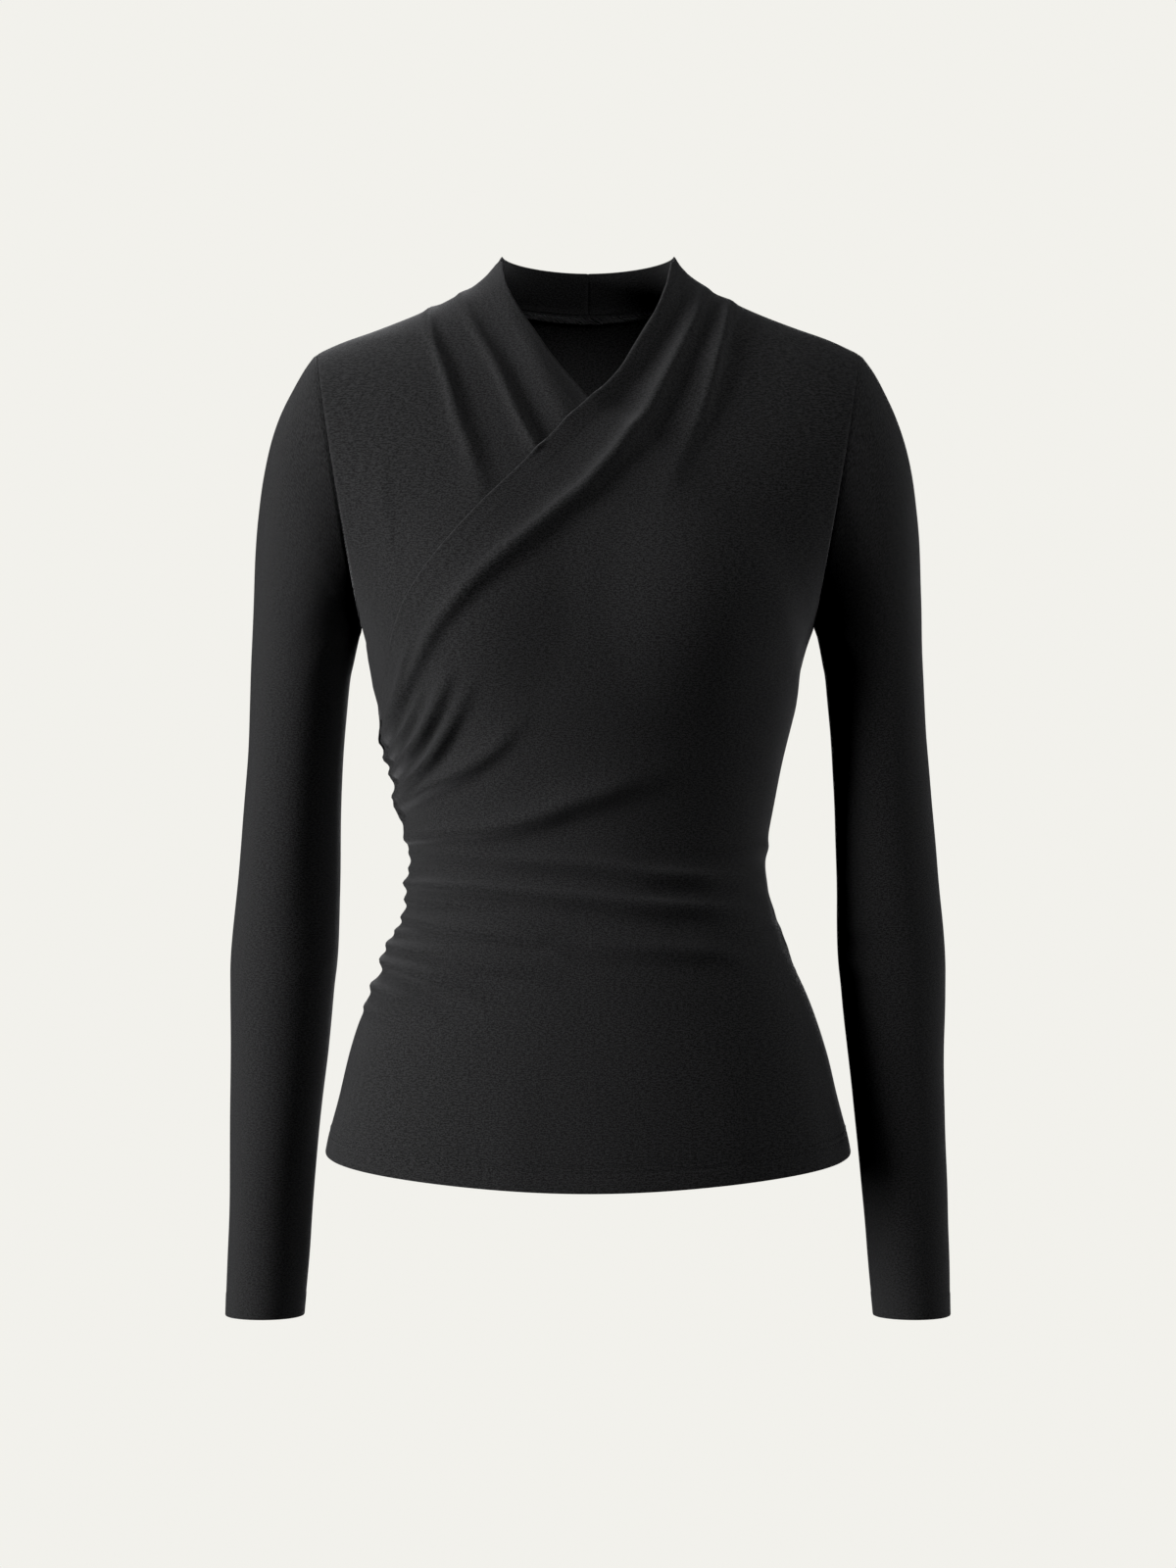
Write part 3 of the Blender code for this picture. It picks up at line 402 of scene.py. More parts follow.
def beside(path, place, outward):
    """Each place's distance from a path, the share of the path there, and its side: 1 right and -1 left."""
    best = np.full(len(place), np.inf)
    share, side = np.zeros(len(place)), np.zeros(len(place))
    for i, (a, b) in enumerate(zip(path, path[1:])):
        step = b - a
        length = max(math.sqrt(step @ step), 1e-9)
        t = np.clip((place - a) @ step / length**2, 0.0, 1.0)
        away = place - a - t[:, None] * step
        distance = np.einsum("ij,ij->i", away, away)
        closer = distance < best
        best[closer] = distance[closer]
        share[closer] = (i + t[closer]) / (len(path) - 1)
        side[closer] = np.einsum("ij,ij->i", np.cross(step / length, away[closer]), outward[closer])
    best = np.sqrt(best)
    return best, share, np.clip(1.5 * side / np.maximum(best, 1e-6), -1.0, 1.0)


def near(path, place):
    """Distance from a seam or an edge."""
    return beside(path, place, place)[0]


def nearest(paths, place):
    """Distance from the nearest of some seams, each drawn through every second point of a grid."""
    return np.min([near(path[::2], place) for path in paths], axis=0)


def creases(table, place, outward, laid):
    """How far a table of creases lifts the cloth. `laid` lays their paths on the form."""
    crest, recover, reach = 0.35, 2.2, 6.0
    lift = np.zeros(len(place))
    for _name, *course, points in table:
        knots = [(float(i), x, level) for i, (x, level) in enumerate(points)]
        t = np.linspace(0, len(points) - 1, 6 * len(points))
        path = laid(along(knots, 1, t), along(knots, 2, t))
        course = [np.atleast_1d(values) for values in course]
        room = reach * max(course[1].max(), course[2].max())
        close = np.all((place > path.min(0) - room) & (place < path.max(0) + room), axis=1)
        away, share, side = beside(path, place[close], outward[close])
        rise, left, right, dip = [np.interp(share, np.linspace(0, 1, len(v)), v) for v in course]
        on_left = rise * np.exp(crest - np.hypot(away / left, crest))
        on_right = (rise + dip) * ridge(away, right) - dip * np.exp(-away / (recover * right))
        lift[close] += on_left + (on_right - on_left) * (1 + side) / 2
    return lift


def uneven(place, height, seed):
    """The slight waviness of soft cloth, as a sum of a few long waves."""
    waves = np.random.default_rng(seed)
    rise = np.zeros(len(place))
    for length in (110.0, 84.0, 67.0, 52.0, 41.0, 31.0):
        wave = unit(waves.normal(size=3)) * 2 * math.pi / length
        rise += height * (length / 110.0) * np.sin(place @ wave + waves.uniform(0, 2 * math.pi))
    return rise


def calm(place):
    """0 on the armhole seams, which hold the cloth, and 1 away from them."""
    z = np.linspace(UNDERARM_Z, SHOULDER_Z, 50)
    away = np.full(len(place), np.inf)
    for depth, ahead in ((ARMHOLE_FRONT, -1.0), (ARMHOLE_BACK, 1.0)):
        x, y = armhole(z, depth)
        for side in (-1.0, 1.0):
            away = np.minimum(away, near(np.stack([side * x, ahead * y, z], -1), place))
    firm, free = 1.0, 16.0
    return ease((away + firm) / free)


def soft_max(a, b, softness=0.35):
    """The greater of two, rounded where they cross."""
    return np.logaddexp(a / softness, b / softness) * softness


def edge_turn(z, column):
    """The turn of a front's crossing edge at a height."""
    side = -math.pi / 2 if column == OVER else math.pi / 2
    return np.where(z > WRAP_END, turn_at(along(EDGES, column, z), z), side)


def over_lift(turn, z):
    """How far the over front stands off the form: a layer where the under front is beneath it."""
    beyond = round_body(turn, z) - round_body(edge_turn(z, UNDER), z)
    return LAYER * ease(1 - (beyond - LAYER_WALL) / LAYER_RAMP)


def body_rise(place, outward, *tables):
    """The creases of the fronts, those of the back and the waviness, which go on across every seam."""
    rise = uneven(place, BODY_WAVES, 23) + creases(BACK_CREASES, place, outward, on_back)
    for table in tables:
        rise += creases(table, place, outward, on_front)
    return rise * calm(place)


def over_way(turn, z, place, outward):
    """The over front's rise from the form."""
    return over_lift(turn, z) + body_rise(place, outward, OVER_CREASES)


def under_way(turn, z, place, outward):
    """The under front's rise: its own where it shows, and pressed flat under the other front."""
    own = body_rise(place, outward, UNDER_CREASES)
    beneath = round_body(turn, z) - round_body(edge_turn(z, OVER), z)
    pressed = -soft_max(-own, LAYER_ROOM - over_way(turn, z, place, outward))
    return own + (pressed - own) * ease((beneath - PRESS_FROM) / PRESS_OVER)


def level_at(level):
    """Height of a level row, as a function of turn."""
    return lambda turn: level + 0 * turn


def hem_at(share, shorter=0.0):
    """Height of a row between the last level one (share 0) and the hem (share 1), as a function of turn."""

    def height(turn):
        drop = np.where(np.cos(turn) > 0, HEM_DROP_FRONT, HEM_DROP_BACK) * np.abs(np.cos(turn)) ** HEM_ROUND
        return BEND_FROM + share * (HEM_SIDE - drop + shorter - BEND_FROM)

    return height


NEAR_ROWS = 40  # rows of a grid that reach past any turning or allowance
# How far in from an edge the first rows or columns of a grid lie.
HEM_STEPS = (0.0, 0.6, 1.3, 2.2, 3.6, 5.4, 7.4, 9.4, 10.8, 12.0, 13.2, 14.6, 16.0, 17.0, 18.2)
EDGE_STEPS = np.array((0.0, 0.5, 1.1, 1.9, 3.0, 4.4))


def hem_shares(step):
    """Shares of the hem rows, closest together at the turned hem."""
    drop = HEM_DROP_FRONT + BEND_FROM - HEM_SIDE
    rest = np.arange(HEM_STEPS[-1] + step, drop, step)
    return [1 - d / drop for d in (*HEM_STEPS, *rest)]


def armhole_heights(steps):
    """Heights of the rows that end on an armhole, closer together where it turns."""
    even = np.linspace(0, 1, steps + 1)
    bend = (math.pi * even + np.arccos(1 - 2 * even)) / 2
    return UNDERARM_Z + (SHOULDER_Z - UNDERARM_Z) * (1 - np.cos(bend)) / 2


def neck_seam(turn):
    """Height of the back neck seam."""
    return NECK_SEAM_BACK * ease((np.abs(turn) - math.pi / 2) / (math.pi / 2))


def far_end(z, depth=ARMHOLE_FRONT):
    """Turn at which a front ends on its own side: at the armhole, or else at the shoulder or side seam."""
    x, y = armhole(z, depth)
    beside_it = (z < SHOULDER_Z) & (z > UNDERARM_Z)
    return np.where(beside_it, np.arctan2(x, y), math.pi / 2)


def divided(curve, start, end, count, ratio=1.0):
    """Turns along a row of cloth, close together at both ends, whose steps grow by a ratio between them."""
    t = np.linspace(start, end, 240)
    walked = lengths(curve(t))
    even = np.linspace(0, 1, count + 1)[1:-1]
    share = (even + (ratio - 1) * even**2 / 2) / ((1 + ratio) / 2)
    inner = EDGE_STEPS[-1] + share * (walked[-1] - 2 * EDGE_STEPS[-1])
    return np.interp(np.concatenate([EDGE_STEPS, inner, walked[-1] - EDGE_STEPS[::-1]]), walked, t)


def front_grid(column, columns, step, low_step, shorter):
    """Turns and heights of a front's points and of its half of the collar, whose rows run on to the centre
    back. Rows below the collar have no points behind the shoulder seam. Below the crossing, rows are a low
    step apart."""
    sign = 1 if column == OVER else -1
    near_at = lambda level: sign * float(edge_turn(np.array(level), column))
    rows = [(hem_at(share, shorter), -math.pi / 2, math.pi / 2) for share in hem_shares(4.0)]
    levels = np.arange(BEND_FROM, RUCHED_FROM, 1.3 * low_step).tolist()
    levels += np.arange(RUCHED_FROM, WRAP_END, low_step).tolist()
    levels += np.arange(WRAP_END + 1, UNDERARM_Z, step).tolist()
    armhole_length, shoulder_length, collar_height = 150, 56, 26
    levels += armhole_heights(round(armhole_length / step)).tolist()
    levels += np.linspace(SHOULDER_Z, 0, round(shoulder_length / step))[1:-1].tolist()
    rows += [(level_at(level), near_at(level), float(far_end(np.array(level)))) for level in levels]
    below_collar = len(rows)
    for share in (*np.linspace(0, 1, round(collar_height / step))[:-3], 0.8, 0.87, 0.93, 0.97, 1.0):
        start = near_at(share * COLLAR_CORNER)

        def height(turn, share=share, start=start):
            climb = ease((turn - start) / (math.pi / 2 - start)) * (COLLAR_TOP - COLLAR_CORNER)
            behind = ease((turn - math.pi / 2) / (math.pi / 2)) * (COLLAR_TOP - COLLAR_TOP_BACK)
            top = np.where(turn < math.pi / 2, COLLAR_CORNER + climb, COLLAR_TOP - behind)
            foot = neck_seam(turn) + SEAM_GAP / 2 * (turn > math.pi / 2)
            return foot + share * (top - foot)

        rows.append((height, start, math.pi / 2))
    behind = divided(lambda t: form(t, neck_seam(t)), math.pi / 2, math.pi, 36)
    behind = np.concatenate([[math.pi / 2], behind[len(EDGE_STEPS):]])[1:]
    turns, heights = [], []
    for height, start, end in rows:
        level = float(height(np.array(end)))
        ratio = float(np.interp(level, (-478, -300, -190, -60), (1.6, 2.6, 1.5, 1.0)))  # of column widths
        turn = divided(lambda t: form(t, height(t)), start, end, columns, ratio)
        turns.append(np.concatenate([turn, behind]))
        heights.append(np.concatenate([height(turn), height(behind)]))
    keep = np.ones((len(rows), columns + 2 * len(EDGE_STEPS) - 1 + len(behind)), bool)
    keep[:below_collar, -len(behind):] = False
    return sign * np.array(turns), np.array(heights), keep, below_collar, len(behind)


def numbered(shape, keep=None):
    """Numbers for the points of a grid, and its quads; `keep` leaves points out."""
    numbers = np.full(shape, -1)
    keep = np.ones(shape, bool) if keep is None else keep
    numbers[keep] = np.arange(keep.sum())
    corners = [numbers[:-1, :-1], numbers[:-1, 1:], numbers[1:, 1:], numbers[1:, :-1]]
    quads = np.stack(corners, -1).reshape(-1, 4)
    return numbers, quads[(quads >= 0).all(1)]


def sheet_normals(points, quads):
    """The outward direction at each point of a sheet of quads."""
    across = np.cross(points[quads[:, 2]] - points[quads[:, 0]], points[quads[:, 3]] - points[quads[:, 1]])
    total = np.zeros_like(points)
    for corner in range(4):
        np.add.at(total, quads[:, corner], across)
    return unit(total)


def mesh_piece(name, vertices, faces, material):
    """A smooth mesh that rides on the top, from points in millimetres."""
    mesh = bpy.data.meshes.new(name)
    mesh.from_pydata((vertices * MM).tolist(), [], faces.tolist())
    mesh.shade_smooth()
    mesh.materials.append(material)
    piece = bpy.data.objects.new(name, mesh)
    bpy.context.scene.collection.objects.link(piece)
    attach(piece, "root")
    return piece


def wall(name, points, quads, cloth, material, outer=OUT_FACE, inner=IN_FACE):
    """A closed wall of cloth with round edges on both sides of a sheet. Returns the piece and the sheet's
    normals. `cloth` holds each point's place in the knit, across and along."""
    count = len(points)
    normals = sheet_normals(points, quads)
    outer, inner = outer + np.zeros(count), inner + np.zeros(count)
    start = quads.reshape(-1)
    stop = np.roll(quads, -1, axis=1).reshape(-1)
    open_edge = ~np.isin(start * count + stop, stop * count + start)
    start, stop = start[open_edge], stop[open_edge]
    outward = np.zeros_like(points)
    side = np.cross(points[stop] - points[start], normals[start] + normals[stop])
    np.add.at(outward, start, side)
    np.add.at(outward, stop, side)
    rim = np.unique(start)
    place = np.full(count, -1)
    place[rim] = np.arange(len(rim))
    half = ((outer + inner) / 2)[rim, None]
    middle = points[rim] + normals[rim] * ((outer - inner) / 2)[rim, None]
    bends = np.radians((50.0, 0.0, -50.0))
    lips = [middle + half * (normals[rim] * math.sin(b) + unit(outward[rim]) * math.cos(b)) for b in bends]
    vertices = np.concatenate([points + normals * outer[:, None], points - normals * inner[:, None], *lips])
    layers = [lambda i: i] + [lambda i, k=k: 2 * count + k * len(rim) + place[i] for k in range(len(bends))]
    layers.append(lambda i: count + i)
    pairs = zip(layers, layers[1:])
    edges = [np.stack([up(stop), up(start), low(start), low(stop)], -1) for up, low in pairs]
    piece = mesh_piece(name, vertices, np.concatenate([quads, quads[:, ::-1] + count, *edges]), material)
    knit = np.concatenate([cloth, cloth, *[cloth[rim]] * len(bends)])
    knit = np.concatenate([knit, np.zeros((len(knit), 1))], axis=1)
    piece.data.attributes.new("cloth", "FLOAT_VECTOR", "POINT").data.foreach_set("vector", knit.ravel())
    return piece, normals


def jersey(name, darkest, palest):
    """Fine black jersey: a knit of small V stitches, faintly heathered, dull, with a soft bloom of fibres."""
    material = bpy.data.materials.new(name)
    material.use_nodes = True
    nodes, links = material.node_tree.nodes, material.node_tree.links
    shader = nodes["Principled BSDF"]

    def math_node(operation, *values):
        node = nodes.new("ShaderNodeMath")
        node.operation = operation
        for socket, value in zip(node.inputs, values):
            if isinstance(value, (int, float)):
                socket.default_value = value
            else:
                links.new(value, socket)
        return node.outputs[0]

    knit = nodes.new("ShaderNodeAttribute")
    knit.attribute_name = "cloth"
    parts = nodes.new("ShaderNodeSeparateXYZ")
    links.new(knit.outputs["Vector"], parts.inputs[0])
    wale, course = 0.80, 0.66  # size of a stitch
    across = math_node("DIVIDE", parts.outputs[0], wale)
    upward = math_node("DIVIDE", parts.outputs[1], course)
    leg = math_node("PINGPONG", across, 0.5)
    rib = math_node("SINE", math_node("MULTIPLY", leg, 2 * math.pi))
    slant = math_node("ADD", upward, math_node("MULTIPLY", leg, 1.6))
    loop = math_node("SINE", math_node("MULTIPLY", slant, 2 * math.pi))
    stitch = math_node("ADD", math_node("MULTIPLY", rib, 0.6), math_node("MULTIPLY", loop, 0.4))

    def noise(scale, stretch, detail):
        mapping = nodes.new("ShaderNodeMapping")
        mapping.inputs["Scale"].default_value = stretch
        links.new(knit.outputs["Vector"], mapping.inputs["Vector"])
        node = nodes.new("ShaderNodeTexNoise")
        node.inputs["Scale"].default_value = scale
        node.inputs["Detail"].default_value = detail
        links.new(mapping.outputs[0], node.inputs["Vector"])
        return node.outputs["Fac"]

    streaks = noise(0.7, (0.55, 1.6, 1.0), 2.0)
    specks = noise(1.3, (0.8, 1.1, 1.0), 2.0)
    heather = math_node("ADD", math_node("MULTIPLY", streaks, 0.4), math_node("MULTIPLY", specks, 0.6))
    ramp = nodes.new("ShaderNodeValToRGB")
    low, high = ramp.color_ramp.elements
    low.position, high.position = 0.43, 0.57
    low.color = (darkest, darkest, 1.06 * darkest, 1.0)
    high.color = (palest, 1.01 * palest, 1.04 * palest, 1.0)
    links.new(heather, ramp.inputs[0])
    links.new(ramp.outputs[0], shader.inputs["Base Color"])

    fuzz = math_node("MULTIPLY", noise(2.6, (1.0, 1.0, 1.0), 3.0), 0.7)
    bump = nodes.new("ShaderNodeBump")
    bump.inputs["Strength"].default_value = 0.35
    bump.inputs["Distance"].default_value = 0.16 * MM
    links.new(math_node("ADD", stitch, fuzz), bump.inputs["Height"])
    links.new(bump.outputs[0], shader.inputs["Normal"])
    shader.inputs["Roughness"].default_value = 0.88
    shader.inputs["Specular IOR Level"].default_value = 0.16
    shader.inputs["Sheen Weight"].default_value = 0.30
    shader.inputs["Sheen Roughness"].default_value = 0.45
    shader.inputs["Sheen Tint"].default_value = (0.55, 0.55, 0.57, 1.0)
    return material


black_jersey = jersey("black jersey", 0.0026, 0.0186)


def sew_front(name, node, column, columns, steps, shorter):
    """A front with its half of the collar. Returns its hem's points and normals, as a grid."""
    sign = 1 if column == OVER else -1
    turn, z, keep, collar, strip = front_grid(column, columns, *steps, shorter)
    numbers, quads = numbered(turn.shape, keep)
    everywhere = form(turn, z)
    body = turn.shape[1] - strip  # columns in front of the shoulder seam
    wrap_row = int(np.argmax(z[:, 0] > WRAP_END))
    free_edge = np.concatenate([everywhere[wrap_row:, 0], everywhere[-1, 1:]])[::2]
    own_side, far_side = everywhere[: collar + 1, body - 1], everywhere[: wrap_row + 1, 0]
    seams = [own_side, everywhere[collar, body - 1 :], far_side]
    hem, collar_seam = everywhere[0, :body:2], everywhere[collar:, -1]
    turn, z, place = turn[keep], z[keep], everywhere[keep]
    outward = facing(form, turn, z)
    shoulder = ease(np.abs(np.abs(np.degrees(turn)) - 90.0) / 10.0)[:, None]
    outward = unit(outward * shoulder + (1 - shoulder) * unit(outward * np.array((1.0, 0.15, 1.0))))
    rise = under_way(turn, z, place, outward)
    if column == OVER:
        rise = soft_max(over_way(turn, z, place, outward), rise + LAYER_ROOM + over_lift(turn, z) - LAYER)
    at_edge, at_hem = near(free_edge, place), near(hem, place)
    at_collar_seam = ridge(near(collar_seam, place), COLLAR_SEAM_WIDTH)
    lip, ditch = ridge(at_edge - LIP_IN, LIP_WIDTH), ridge(nearest(seams, place), SEAM_WIDTH)
    rise += LIP_RISE * lip - SEAM_DEPTH * ditch
    rise += COLLAR_RIDGE * at_collar_seam
    for row in STITCH_ROWS:
        rise -= GROOVE_DEPTH * ridge(at_hem - row, GROOVE_WIDTH)
    turned = np.maximum(turned_in(at_edge, EDGE_TURN), turned_in(at_hem, HEM_TURN))
    points = place + outward * rise[:, None] + np.array((sign * SEAM_GAP / 2, -SEAM_GAP / 2, 0.0))
    if sign < 0:
        quads = quads[:, ::-1]
    cloth = np.stack([turn * BODY_RADIUS, z], -1)
    outer = OUT_FACE + TURN_OUT * turned
    inner = IN_FACE + TURN_IN * turned * (z < 0) - COLLAR_HOLLOW * at_collar_seam
    piece, normals = wall(name, points, quads, cloth, black_jersey, outer, inner)
    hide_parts(node)
    rows = numbers[:NEAR_ROWS, :body]
    return (points + normals * outer[:, None])[rows], normals[rows]


sew_front("under_front_jersey", "front_under", UNDER, 140, (1.9, 5.0), UNDER_HEM_SHORTER)
over_hem = sew_front("over_front_jersey", "front_over", OVER, 134, (1.9, 1.5), 0.0)

# ------------------------------------------------------------------ the back
# One piece of jersey from the hem to the shoulder seams and a plain back neck seam, joined to both fronts at
# the shoulders and sides. Its side seams carry three layers, and the ruching puckers it on the right.


def back_grid(columns, step):
    """Turns and heights of the back's points, row by row from the hem up."""
    rows = [(hem_at(share), math.pi / 2) for share in hem_shares(step)]
    rows += [(level_at(level), math.pi / 2) for level in np.arange(BEND_FROM, UNDERARM_Z, step)]
    side = len(rows)
    for level in armhole_heights(76):
        rows.append((level_at(level), math.pi - float(far_end(np.array(level), ARMHOLE_BACK))))
    shoulder = len(rows)
    for share in (*np.linspace(0, 1, 26)[1:-3], 0.91, 0.95, 0.975, 0.99, 1.0):
        level = SHOULDER_Z * (1 - share)
        shape = lambda turn, level=level, share=share: (
            level + share * (neck_seam(np.minimum(turn, 2 * math.pi - turn)) - SEAM_GAP / 2))
        rows.append((shape, math.pi / 2))
    turns = [divided(lambda t, h=h: form(t, h(t)), a, 2 * math.pi - a, columns) for h, a in rows]
    heights = [h(t) for (h, _), t in zip(rows, turns)]
    return np.array(turns), np.array(heights), side, shoulder


def sew_back():
    """The back. Returns the grids of its outside, inside and normals, and where its armholes' and shoulders'
    rows begin."""
    turn, z, side, shoulder = back_grid(128, 2.4)
    shape = turn.shape
    _, quads = numbered(shape)
    turn, z = turn.ravel(), z.ravel()
    place, outward = form(turn, z), facing(form, turn, z)
    outline = place.reshape(*shape, 3)
    at_seam = nearest((outline[:, 0], outline[:, -1], outline[-1]), place)
    at_hem = near(outline[0, ::2], place)
    # It stands off the form a little, and at its side seams by what the fronts do there.
    blend, tuck = 0.24, 0.2  # turn over which a side seam's rise fades, and how far the back stays below it
    halfway = 1.2 * ease((UNDERARM_Z - z) / (UNDERARM_Z - WRAP_END))
    at_left = ease(1 - (turn - math.pi / 2) / blend)
    at_right = ease(1 - (1.5 * math.pi - turn) / blend)
    left_seam = over_lift(math.pi / 2 + 0 * z, np.minimum(z, UNDERARM_Z)) * ease(1 - (z - UNDERARM_Z) / 25)
    right_seam = LAYER * ease((WRAP_END + 14 - z) / 20)
    rise = halfway + at_left * (left_seam - tuck - halfway) + at_right * (right_seam - tuck - halfway)
    rise += body_rise(place, outward, UNDER_CREASES, OVER_CREASES)
    rise -= SEAM_DEPTH * ridge(at_seam, SEAM_WIDTH)
    for row in STITCH_ROWS:
        rise -= GROOVE_DEPTH * ridge(at_hem - row, GROOVE_WIDTH)
    turned = turned_in(at_hem, HEM_TURN)
    points = place + outward * rise[:, None] + np.array((0.0, SEAM_GAP / 2, 0.0))
    cloth = np.stack([turn * BODY_RADIUS, z], -1)
    outer, inner = OUT_FACE + TURN_OUT * turned, IN_FACE + TURN_IN * turned
    piece, normals = wall("back_jersey", points, quads, cloth, black_jersey, outer, inner)
    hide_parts("back")
    outside = (points + normals * outer[:, None]).reshape(*shape, 3)
    inside = (points - normals * IN_FACE).reshape(*shape, 3)
    return outside, inside, normals.reshape(*shape, 3), side, shoulder


back_outside, back_inside, back_normals, side_rows, shoulder_rows = sew_back()

# ------------------------------------------------------------------ the sleeves
# Long set-in sleeves, each cut in one with a seam under the arm, from the armhole to a plain turned cuff.
# They hang straight, with a few soft creases behind the elbow and below the armhole.

SLEEVE_CLEAR, UNDERARM_CLEAR = 0.8, 1.1  # from the body's pieces, at the top and at the foot of the armhole
CUFF_TURN = 13.0
ARM_RADIUS = 42.0  # turns a bend into millimetres of knit
SLEEVE_RINGS = (
    # outer_z, outer_x, inner_z, inner_x, front, back, middle
    (-40.0, 176.5, -219.0, 146.5, 56.0, 52.0, 0.0),
    (-51.0, 184.6, -219.9, 147.2, 55.6, 51.8, 0.0),
    (-64.0, 192.0, -220.7, 147.6, 55.2, 51.6, 0.0),
    (-80.0, 199.6, -221.6, 147.9, 54.6, 51.4, 0.0),
    (-99.0, 206.0, -222.7, 148.3, 53.6, 51.0, 0.0),
    (-122.0, 211.0, -224.2, 148.8, 52.2, 50.4, 0.5),
    (-147.0, 214.0, -226.4, 149.3, 50.6, 49.6, 1.0),
    (-172.0, 215.8, -229.6, 150.0, 48.8, 48.8, 1.5),
    (-198.0, 216.8, -234.4, 151.0, 47.2, 48.0, 2.0),
    (-222.0, 217.5, -241.4, 152.4, 46.0, 47.0, 2.5),
    (-244.0, 218.2, -251.0, 154.4, 45.0, 46.0, 3.0),
    (-268.0, 219.0, -268.0, 156.2, 44.0, 45.0, 4.0),
    (-301.0, 220.7, -301.0, 159.2, 43.0, 44.0, 5.5),
    (-339.0, 224.0, -339.0, 160.8, 42.0, 43.0, 7.0),
    (-378.0, 227.6, -378.0, 161.6, 41.0, 42.5, 7.5),
    (-416.0, 231.0, -416.0, 161.9, 40.0, 41.5, 6.0),
    (-437.0, 232.1, -437.0, 162.6, 39.5, 40.5, 4.0),
    (-456.0, 231.8, -456.0, 164.5, 39.0, 39.5, 1.5),
    (-493.0, 231.0, -493.0, 168.0, 37.5, 38.0, -3.0),
    (-531.0, 231.0, -531.0, 172.3, 35.5, 36.0, -7.5),
    (-589.0, 231.7, -589.0, 178.0, 32.5, 33.0, -13.5),
    (-627.0, 232.9, -627.0, 180.4, 31.0, 31.5, -16.5),
    (-663.5, 233.9, -663.5, 183.6, 30.0, 30.5, -19.0),
)
SLEEVE_CREASES = (
    # name, rise, left, right, dip, path of (bend, height) points: a bend is 0 on the outside and 90 in front
    ("underarm front", (0.0, 0.7, 0.7, 0.0), 7.0, 8.0, 0.3,
     ((136, -176), (124, -204), (112, -236), (104, -266))),
    ("underarm back 1", (0.4, 1.5, 1.2, 0.0), 6.0, 7.0, 0.6,
     ((-132, -150), (-120, -184), (-104, -214), (-88, -246))),
    ("underarm back 2", (0.4, 1.2, 1.0, 0.0), 6.0, 7.0, 0.6,
     ((-148, -176), (-138, -208), (-126, -238), (-110, -268))),
    ("elbow front 1", (0.0, 0.6, 0.7, 0.0), 7.0, 8.0, 0.3,
     ((98, -408), (120, -414), (142, -414), (164, -408))),
    ("elbow front 2", (0.0, 0.6, 0.8, 0.0), 7.0, 8.0, 0.3,
     ((84, -440), (112, -442), (136, -438), (160, -430))),
    ("elbow back 1", (0.0, 1.4, 1.6, 1.0, 0.0), 7.0, 8.0, 0.6,
     ((-158, -392), (-132, -402), (-104, -408), (-76, -404))),
    ("elbow back 2", (0.0, 1.2, 1.4, 0.9, 0.0), 7.0, 8.0, 0.6,
     ((-162, -440), (-136, -446), (-106, -446), (-74, -438))),
    ("forearm back", (0.0, 1.0, 1.1, 0.0), 12.0, 13.0, 0.3,
     ((-84, -486), (-96, -528), (-100, -570), (-92, -616))),
    ("cuff back", (0.0, 0.8, 1.0, 1.0), 9.0, 10.0, 0.2,
     ((-130, -590), (-122, -618), (-118, -644), (-118, -664))),
)


def sleeve_point(bend, ring, side):
    """A point of a sleeve: bend goes round the ring, from its outer point over the front."""
    rows = [(float(i),) + row for i, row in enumerate(SLEEVE_RINGS)]
    outer_z, outer_x, inner_z, inner_x, front, back, middle = (along(rows, c, ring) for c in range(1, 8))
    out = np.cos(bend)
    x = (outer_x + inner_x) / 2 + (outer_x - inner_x) / 2 * out
    x = x + (SLEEVE_CLEAR + UNDERARM_CLEAR) / 2 + (SLEEVE_CLEAR - UNDERARM_CLEAR) / 2 * out
    z = (outer_z + inner_z) / 2 + (outer_z - inner_z) / 2 * out
    depth = np.where(np.sin(bend) > 0, front, back)
    return np.stack([side * x, middle - depth * np.sin(bend), z], -1)


